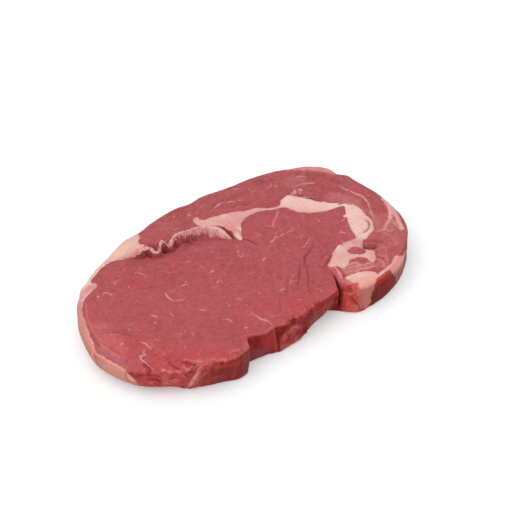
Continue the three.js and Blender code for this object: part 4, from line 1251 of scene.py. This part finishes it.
def fat_colours(skin, fat):
    """The colours of the fat; fat is how deep in it each point lies."""
    plan = skin.plan
    wall = skin.wall()
    coat = Coat(skin, "pink_fat", 0.4 * lumps(skin.place, 1.6, 43))
    coat.tint("blossom", 0.5 * smooth(-fat, -1.8, 0))
    coat.tint("pale_fat", smooth(lumps(plan, 6, 41), -0.2, 0.8))
    arcs = [arc for arc, _ in FAT_WALL]
    shades = np.array([WALL_TONES[name] for _, name in FAT_WALL])
    walled = np.stack([np.interp(skin.arc, arcs, shade) for shade in shades.T], -1) / coat.lit
    coat.colour = mix(coat.colour, walled, skin.side[:, None])
    coat.tint("orange", 0.3 * skin.side * smooth(lumps(skin.place, 5, 42), 0, 0.8))
    behind = skin.side * between(skin.arc, BANDED_BACK)
    bands = lumps(np.stack([skin.arc / 18, skin.height / 4], -1), 1, 44) + 0.4 * lumps(skin.place, 2.2, 45)
    coat.tint("blush", 0.5 * behind * smooth(bands, 0, 0.9))
    coat.tint("edge", 0.55 * behind * smooth(lean_streaks(skin), 0.35, 0.8))
    coat.tint("cream", 0.6 * behind * smooth(-bands, 0, 0.9))
    coat.tint_areas(FAT_AREAS, wall, skin.low)
    coat.tint_lines(FAT_LINES, plan, skin.above, 1, 0.3, 0.3, 0.3)
    coat.tint_lines(FAT_RIDGES, wall, skin.rim_or_side, 0.5, 0.4, 0.3)
    return coat.colour


def finish_meat():
    """The whole meat, carved and painted."""
    meat = meat_blank()
    blank = Skin(meat.data)
    fat = fat_depth(blank)
    skin = carve(meat, fat)
    mesh = meat.data
    offset, half, strength = stroke_fields(skin.plan, threads(*THREADS) + FLECKS)
    half = np.where(skin.top + skin.bottom > 0.5, half, -3)
    flecks = np.stack([offset, half, strength], -1)
    marbling = mix(0.15, 1, np.clip(skin.top + skin.bottom, 0, 1))
    flesh = flesh_colours(skin, blank.place)
    dress(mesh, flesh, fat_colours(skin, fat), fat, flecks, marbling, shred_share(skin))
    return meat


def dress(mesh, flesh, suet=None, fat=None, fleck=None, marbling=None, shred=None):
    """Writes what the material reads; what isn't given is left bare."""
    count = len(flesh)
    solid = np.ones((count, 1))
    paint(mesh, "flesh", "FLOAT_COLOR", np.hstack([flesh, solid]))
    paint(mesh, "suet", "FLOAT_COLOR", np.hstack([flesh if suet is None else suet, solid]))
    paint(mesh, "marbling", "FLOAT", np.zeros(count) if marbling is None else marbling)
    paint(mesh, "shred", "FLOAT", np.zeros(count) if shred is None else shred)
    paint(mesh, "fat", "FLOAT", np.full(count, OUTSIDE) if fat is None else fat)
    paint(mesh, "fleck", "FLOAT_VECTOR", np.tile((9.0, -3.0, 0.0), (count, 1)) if fleck is None else fleck)


# The membrane and the sinews, which lie on the meat.

class Ground:
    """Finds places on the skin of the meat."""

    def __init__(self, meat):
        self.tree = BVHTree.FromPolygons(
            [vert.co for vert in meat.data.vertices], [face.vertices for face in meat.data.polygons]
        )
        rim = spline(OUTLINE, RIM_POINTS, closed=True)[:, :2]
        self.rim = np.vstack([rim, rim[:1]])
        self.run = np.concatenate([[0], np.cumsum(np.linalg.norm(np.diff(self.rim, axis=0), axis=1))])
        self.spots = np.array([(x, y) for x in np.arange(*STEP_X, 0.5) for y in np.arange(*STEP_Y, 0.5)])
        self.relief = THICKNESS + face_relief(self.spots)

    def on_face(self, x, y):
        place, normal, _, _ = self.tree.ray_cast(Vector((x, y, OVERHEAD)), Vector((0, 0, -1)))
        return np.array(place), np.array(normal)

    @staticmethod
    def over(x, y):
        """The place on the cut face as if nothing were cut or carved there."""
        return np.array([x, y, THICKNESS + face_relief(np.array([[x, y]]))[0]]), np.array([0, 0, 1.0])

    def bare(self, x, y):
        """The height of the cut face as if it had no crevice."""
        return float(self.relief[np.argmin(np.hypot(self.spots[:, 0] - x, self.spots[:, 1] - y))])

    def on_side(self, arc, height):
        """The place at a height, as far round from the tip of the tail as arc."""
        edge = np.array([np.interp(arc, self.run, column) for column in self.rim.T])
        ahead = np.array([np.interp(arc + 1.5, self.run, column) for column in self.rim.T]) - edge
        ahead /= np.linalg.norm(ahead)
        inward = Vector((-ahead[1], ahead[0], 0))
        place, normal, _, _ = self.tree.ray_cast(Vector((*edge, height)) - inward * 8, inward)
        return np.array(place), np.array(normal)


HEMS = spline(FOLDS, 300)


def membrane_place(ground, across, down):
    """The place of a point of the membrane, from how far it is to the right and how far down from the lip."""
    u_x, u_y, l_x, l_y = (np.interp(across, np.linspace(0, 1, len(HEMS)), column) for column in HEMS.T)
    narrow = down * mix(0.62, 1, smooth(u_x, *NARROW_UNTIL))
    x = mix(u_x, l_x, narrow)
    y = mix(u_y, l_y, narrow)
    ground_height = ground.on_face(x, y)[0][2]
    bare = ground.bare(x, y)
    loose = 1 - smooth(x, *LOOSE_UNTIL)
    sunk = max(ground_height, bare - 0.5)
    floor = mix(sunk, ground_height, (1 - loose) * smooth(down, 0.5, 1))
    ends = smooth(across, 0, 0.14) * smooth(1 - across, 0, 0.05)
    high = mix(look_up(CURTAIN, down), look_up(TUBE, down), loose)
    return np.array([x, y, floor + mix(-0.5, high, ends)])


def hem_reach(across):
    """How far down the membrane reaches."""
    return 1 - 0.24 * between(across, SHORT_HEM)


def sheet_piece(ground):
    """The membrane that is pulled up over the step, with pleats where it hangs free."""
    across, down = 220, 14
    shape = bmesh.new()
    bmesh.ops.create_grid(shape, x_segments=across - 1, y_segments=down - 1, size=0.5)
    spots = np.array([vert.co[:2] for vert in shape.verts]) + 0.5
    grain = np.stack([spots[:, 0] * MEMBRANE_LENGTH, spots[:, 1] * 0.7], -1)
    hem = np.stack([spots[:, 0] * MEMBRANE_LENGTH, spots[:, 0]], -1)
    reach = hem_reach(spots[:, 0]) + layered(hem, MEMBRANE_HEM)
    ripple = layered(grain, MEMBRANE_RIPPLE)
    for vert, (u, v), far, up in zip(shape.verts, spots, reach, ripple):
        vert.co = membrane_place(ground, u, v * far)
        vert.co.z += up
    bmesh.ops.recalc_face_normals(shape, faces=shape.faces)
    bmesh.ops.solidify(shape, geom=shape.faces[:], thickness=MEMBRANE_THICK)
    count = len(shape.verts)
    piece = piece_from(shape, "membrane")
    stripes = layered(np.resize(grain, (count, 2)), MEMBRANE_STRIPES)
    hem_x = np.interp(np.resize(spots[:, 0], count), np.linspace(0, 1, len(HEMS)), HEMS[:, 0])
    share = np.resize(spots[:, 1], count) * mix(0.4, 1, smooth(hem_x, *NARROW_UNTIL))
    # Pale with a painted highlight at the lip, and darkened with painted shade towards the hem.
    colour = mix(tone(*MEMBRANE_LIP), tone(*MEMBRANE_FACE), smooth(share + 0.1 * stripes, 0.25, 0.7)[:, None])
    colour = mix(colour, tone(*MEMBRANE_LOW), smooth(share + 0.3 * stripes, 0.72, 1.05)[:, None])
    colour *= (1 + 0.2 * stripes)[:, None]
    dress(piece.data, np.clip(colour, 0, 1), shred=0.08 + 0.35 * smooth(share, 0.6, 1))
    return piece


def fibres(ground):
    """Thin fibres down the membrane and shreds on the side: colour, width, thickness, places and normals."""
    chance = np.random.default_rng(FIBRE_SEED)
    made = []
    for _ in range(FIBRES):
        across = chance.uniform(0.03, 0.97)
        lean = chance.normal(0, 0.006)
        start = chance.uniform(0.1, 0.4)
        stops = np.linspace(start, chance.uniform(0.65, 1.15) * hem_reach(across), 7)
        places = [
            membrane_place(ground, np.clip(across + lean * number, 0, 1), down)
            for number, down in enumerate(stops)
        ]
        name = chance.choice(["pearl", "veil", "veil", "film"])
        made.append((TONES[name], chance.uniform(0.12, 0.22), 0.12, places, [FIBRE_FACES] * len(places)))
    for _ in range(SHORT_SHREDS):
        arc = chance.uniform(281, 307)
        height = chance.uniform(2, 17)
        length = chance.uniform(1.5, 4)
        slope = chance.normal(-0.5, 0.5)
        bend = chance.normal(0, 0.5)
        along = np.linspace(0, 1, 8)
        heights = height + length * slope * along + bend * along * (1 - along) * 4
        stops = zip(arc + length * along, np.clip(heights, 0.8, 16.5))
        places, normals = zip(*(ground.on_side(*stop) for stop in stops))
        name = chance.choice(["bright", "bright", "wine", "side", "edge", "bright", "wine"])
        shade = WALL_TONES[name] / wall_light(arc)
        made.append((shade, chance.uniform(0.15, 0.4), chance.uniform(0.15, 0.3), places, normals))
    return made


def strand(places, normals, width, thick, sides=10):
    """The rings of a flat strand, half sunk in the skin that it runs over."""
    places, normals = np.array(places), np.array(normals)
    along = np.gradient(places, axis=0)
    along /= np.linalg.norm(along, axis=1)[:, None]
    across = np.cross(along, normals)
    across /= np.linalg.norm(across, axis=1)[:, None]
    up = np.cross(across, along)
    turn = np.linspace(0, 2 * math.pi, sides, endpoint=False)
    taper = np.sqrt(np.clip(np.sin(np.linspace(0.08, math.pi - 0.08, len(places))), 0, 1))
    taper = taper * (1 + 0.25 * lumps(places, 1.5, 91))
    return [
        place + share * (width * np.outer(np.cos(turn), side) + thick * np.outer(np.sin(turn), lift))
        for place, side, lift, share in zip(places, across, up, taper)
    ]


def sinew_piece(ground):
    """All the sinews, fibres and shreds that stand out of the skin, as one mesh of separate strands."""
    strands = fibres(ground)
    for where, name, width, thick, lift, landmarks in SINEWS:
        find = {"face": ground.on_face, "over": ground.over, "side": ground.on_side}[where]
        places, normals = zip(*(find(*spot) for spot in spline(landmarks, 6 * len(landmarks))))
        light = wall_light(landmarks[0][0]) if where == "side" else LIGHT
        shade = WALL_TONES[name] / light if name in WALL_TONES else TONES[name]
        places = np.array(places) + np.array(normals) * lift
        strands.append((shade, width, thick, places, normals))
    whole = bmesh.new()
    colours = []
    for number, (shade, width, thick, places, normals) in enumerate(strands):
        places = np.array(places)
        padded = np.vstack([normals[:1], normals, normals[-1:]])
        normals = padded[:-2] + padded[1:-1] + padded[2:]
        normals /= np.linalg.norm(normals, axis=1)[:, None]
        sway = np.stack([lumps(places, 1.7, 90 + number + 400 * axis) for axis in range(3)], -1)
        places = places + 0.12 * sway
        rings = strand(places, normals, width, thick)
        part = drawn(rings)
        mesh = bpy.data.meshes.new("strand")
        part.to_mesh(mesh)
        part.free()
        whole.from_mesh(mesh)
        bpy.data.meshes.remove(mesh)
        spots = np.vstack(rings)
        colours.append(shade * (1 + layered(spots, SINEW_TINTS))[:, None])
    piece = piece_from(whole, "sinews")
    dress(piece.data, np.clip(np.vstack(colours), 0, 1))
    return piece


def settle(piece):
    """Takes a piece from landmark millimetres to its place in the frame, in metres."""
    mesh = piece.data
    place = np.empty(3 * len(mesh.vertices))
    mesh.vertices.foreach_get("co", place)
    place = (place.reshape(-1, 3) - PLAN_MIDDLE) / METRE
    mesh.vertices.foreach_set("co", place.ravel())
    mesh.shade_smooth()
    mesh.update()


# The material.

FILM_SHARE = 0.02
# How much each noise lightens and darkens the flesh, and how high each part stands in its relief.
MOTTLED = {"mottle": 0.42, "fine": 0.25, "streaks": 0.32, "broad": 0.25}
RELIEF = {"bundles": 0.05, "mottle": 0.22, "fine": 0.1, "flecks": 0.08, "crumbs": 0.9}
ROUGHNESS = {"least": 0.36, "varies": 0.3, "on_fat": 0.08}
SPECULAR = 0.06
SUBSURFACE = {"Weight": 0.15, "Radius": (1.0, 0.35, 0.25), "Scale": 0.002}
MARBLE_FILM = (226, 168, 166)
MARBLE_THREAD = (204, 130, 128)
MARBLE_FLECK = (226, 160, 155)
DARK_FLECK = (120, 40, 44)
FAT_VEIN = (206, 120, 116)


class Nodes:
    """A material's node tree, with short ways to add its nodes."""

    def __init__(self, name):
        self.material = bpy.data.materials.new(name)
        self.material.use_nodes = True
        self.tree = self.material.node_tree
        self.shader = self.tree.nodes["Principled BSDF"]

    def add(self, kind, inputs=None, **settings):
        node = self.tree.nodes.new("ShaderNode" + kind)
        for name, value in settings.items():
            setattr(node, name, value)
        for name, value in (inputs or {}).items():
            self.feed(node.inputs[name], value)
        return node

    def feed(self, socket, value):
        if isinstance(value, bpy.types.NodeSocket):
            self.tree.links.new(value, socket)
        elif isinstance(value, bpy.types.Node):
            self.tree.links.new(value.outputs[0], socket)
        else:
            socket.default_value = value

    def maths(self, operation, first, second=0.0, third=0.0):
        return self.add("Math", {0: first, 1: second, 2: third}, operation=operation).outputs[0]

    def step(self, value, low, high):
        """0 at low and before, 1 at high and past it, and a soft step between; low may be the larger one."""
        inputs = {"Value": value, "From Min": low, "From Max": high}
        return self.add("MapRange", inputs, interpolation_type="SMOOTHSTEP").outputs[0]

    def noise(self, place, scale, detail=2.0, rough=0.5):
        inputs = {"Vector": place, "Scale": scale, "Detail": detail, "Roughness": rough}
        return self.add("TexNoise", inputs).outputs["Fac"]

    def blend(self, share, first, second):
        mixer = self.add("Mix", {0: share}, data_type="RGBA")
        self.feed(mixer.inputs[6], first)
        self.feed(mixer.inputs[7], second)
        return mixer.outputs[2]

    def millimetres(self):
        """Object coordinates in millimetres."""
        place = self.add("TexCoord").outputs["Object"]
        return self.add("Mapping", {"Vector": place, "Scale": (METRE, METRE, METRE)}).outputs[0]

    def attribute(self, name, output="Fac"):
        return self.add("Attribute", attribute_name=name).outputs[output]

    def vary(self, base, noise, swing):
        """The base, moved up and down by as much as the noise differs from its middle."""
        return self.maths("MULTIPLY_ADD", self.maths("SUBTRACT", noise, 0.5), swing, base)

    def lit(self, colour, light):
        return self.add("VectorMath", {0: colour, "Scale": light}, operation="SCALE").outputs[0]


def rgb(*colour):
    return (*tone(*colour), 1.0)


def meat_material():
    n = Nodes("raw_meat")
    place = n.millimetres()
    rough_edge = n.noise(place, 0.9, 3)
    broad_edge = n.noise(place, 0.25, 2)

    # Muscle: bundles of fibres seen end on, mottled.
    bundles = n.add("TexVoronoi", {"Vector": place, "Scale": 0.62, "Randomness": 1.0})
    cell = n.add("SeparateColor", {"Color": bundles.outputs["Color"]}).outputs[0]
    mottle = n.noise(place, 0.5, 4, 0.6)
    fine = n.noise(place, 2.4, 2)
    grained = {"Vector": place, "Rotation": (0, 0, -GRAIN), "Scale": (0.22, 1.0, 1.0)}
    streaks = n.noise(n.add("Mapping", grained).outputs[0], 0.8, 3, 0.6)
    light = n.maths("MULTIPLY_ADD", cell, 0.1, 0.95)
    noises = {"mottle": mottle, "fine": fine, "streaks": streaks, "broad": broad_edge}
    for name, swing in MOTTLED.items():
        light = n.vary(light, noises[name], swing)
    shred = n.attribute("shred")
    crumbs = n.noise(place, 0.95, 4, 0.7)
    crumbled = n.maths("MULTIPLY", n.maths("SUBTRACT", crumbs, 0.45), shred)
    light = n.maths("MULTIPLY_ADD", crumbled, 1.8, light)
    colour = n.lit(n.attribute("flesh", "Color"), light)
    marbling = n.attribute("marbling")
    film = n.vary(FILM_SHARE, n.noise(place, 1.1, 4, 0.65), 0.35)
    colour = n.blend(n.maths("MULTIPLY", film, marbling), colour, rgb(*MARBLE_FILM))

    # Thin threads of marbling, too fine to place one by one.
    ridge = n.maths("ABSOLUTE", n.maths("SUBTRACT", n.noise(place, 0.16, 3, 0.55), 0.5))
    sparse = n.step(n.noise(place, 0.11, 1), 0.52, 0.62)
    thread = n.maths("MULTIPLY", n.step(ridge, 0.008, 0.0), sparse)
    thread = n.maths("MULTIPLY", thread, n.maths("MULTIPLY", marbling, 0.4))
    colour = n.blend(thread, colour, rgb(*MARBLE_THREAD))

    # The flecks that are placed.
    fleck = n.add("SeparateXYZ", {"Vector": n.attribute("fleck", "Vector")})
    offset = n.maths("ABSOLUTE", n.vary(fleck.outputs[0], rough_edge, 0.5))
    spare = n.maths("SUBTRACT", fleck.outputs[1], offset)
    broken = n.maths("MULTIPLY", n.step(spare, -0.3, 0.25), n.maths("MULTIPLY_ADD", fine, 0.8, 0.68))
    fleck_share = n.maths("MULTIPLY", broken, fleck.outputs[2])
    colour = n.blend(n.maths("MULTIPLY", fleck_share, 0.8), colour, rgb(*MARBLE_FLECK))
    colour = n.blend(n.maths("MULTIPLY", fleck_share, -1.0), colour, rgb(*DARK_FLECK))

    # Fat.
    fat = n.vary(n.attribute("fat"), rough_edge, 1.2)
    fat = n.vary(fat, broad_edge, 1.6)
    fat_share = n.step(fat, -0.3, 0.4)
    grain = n.maths("MULTIPLY_ADD", n.noise(place, 0.8, 4, 0.6), 0.24, 0.88)
    grain = n.maths("MULTIPLY_ADD", crumbled, 0.7, grain)
    suet = n.lit(n.attribute("suet", "Color"), grain)
    veins = n.maths("ABSOLUTE", n.maths("SUBTRACT", n.noise(place, 0.33, 3), 0.5))
    suet = n.blend(n.maths("MULTIPLY", n.step(veins, 0.03, 0.0), 0.35), suet, rgb(*FAT_VEIN))
    n.feed(n.shader.inputs["Base Color"], n.blend(fat_share, colour, suet))

    # Moist skin.
    moist = n.maths("MULTIPLY_ADD", n.noise(place, 0.35, 3), ROUGHNESS["varies"], ROUGHNESS["least"])
    n.feed(n.shader.inputs["Roughness"], n.maths("MULTIPLY_ADD", fat_share, ROUGHNESS["on_fat"], moist))
    n.shader.inputs["Specular IOR Level"].default_value = SPECULAR
    for name, value in SUBSURFACE.items():
        n.shader.inputs["Subsurface " + name].default_value = value
    loose = n.maths("MULTIPLY", crumbs, shred)
    parts = {"mottle": mottle, "fine": fine, "flecks": fleck_share, "crumbs": loose}
    height = n.maths("MULTIPLY", bundles.outputs["Distance"], RELIEF["bundles"])
    for name, part in parts.items():
        height = n.maths("MULTIPLY_ADD", part, RELIEF[name], height)
    bump = n.add("Bump", {"Height": height, "Strength": 1.0, "Distance": 1 / METRE})
    n.feed(n.shader.inputs["Normal"], bump.outputs[0])
    return n.material


# The stage.

CAMERA = {
    "place": (-0.39405, -0.51936, 0.56871),
    "target": (0.01661, 0.00627, 0.009),
    "lens": 120,
    "sensor": 36,
}
KEY_LIGHT = {"place": (-0.7, -0.35, 1.25), "size": 1.6, "watts": 12.4}
WORLD_LIGHT = 0.88
WHITE = (1, 1, 1, 1)
FLOOR = {"half": 4, "height": -0.0001, "colour": (0.735, 0.775, 0.775, 1), "roughness": 0.9, "glow": 0.2}


def aim(item, place, target):
    item.location = place
    item.rotation_euler = (Vector(target) - Vector(place)).to_track_quat("-Z", "Y").to_euler()
    bpy.context.scene.collection.objects.link(item)


def add_camera():
    lens = bpy.data.cameras.new("camera")
    lens.lens = CAMERA["lens"]
    lens.sensor_width = CAMERA["sensor"]
    camera = bpy.data.objects.new("camera", lens)
    aim(camera, CAMERA["place"], CAMERA["target"])
    bpy.context.scene.camera = camera


def add_key_light():
    lamp = bpy.data.lights.new("key", "AREA")
    lamp.size = KEY_LIGHT["size"]
    lamp.energy = KEY_LIGHT["watts"]
    aim(bpy.data.objects.new("key", lamp), KEY_LIGHT["place"], (0, 0, 0))


def add_floor():
    shape = bmesh.new()
    bmesh.ops.create_grid(shape, x_segments=1, y_segments=1, size=FLOOR["half"])
    bmesh.ops.translate(shape, verts=shape.verts, vec=(0, 0, FLOOR["height"]))
    floor = piece_from(shape, "floor")
    n = Nodes("floor")
    n.shader.inputs["Base Color"].default_value = FLOOR["colour"]
    n.shader.inputs["Roughness"].default_value = FLOOR["roughness"]
    n.shader.inputs["Specular IOR Level"].default_value = 0
    n.shader.inputs["Emission Color"].default_value = WHITE
    n.shader.inputs["Emission Strength"].default_value = FLOOR["glow"]
    floor.data.materials.append(n.material)


def add_stage():
    add_floor()
    add_key_light()
    world = bpy.data.worlds.new("world")
    world.use_nodes = True
    world.node_tree.nodes["Background"].inputs["Color"].default_value = WHITE
    world.node_tree.nodes["Background"].inputs["Strength"].default_value = WORLD_LIGHT
    bpy.context.scene.world = world
    bpy.context.scene.view_settings.view_transform = "Standard"


meat = finish_meat()
ground = Ground(meat)
pieces = [meat, sheet_piece(ground), sinew_piece(ground)]
material = meat_material()
for piece in pieces:
    settle(piece)
    piece.data.materials.append(material)
    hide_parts("steak")
    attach(piece, "root")

add_stage()
add_camera()
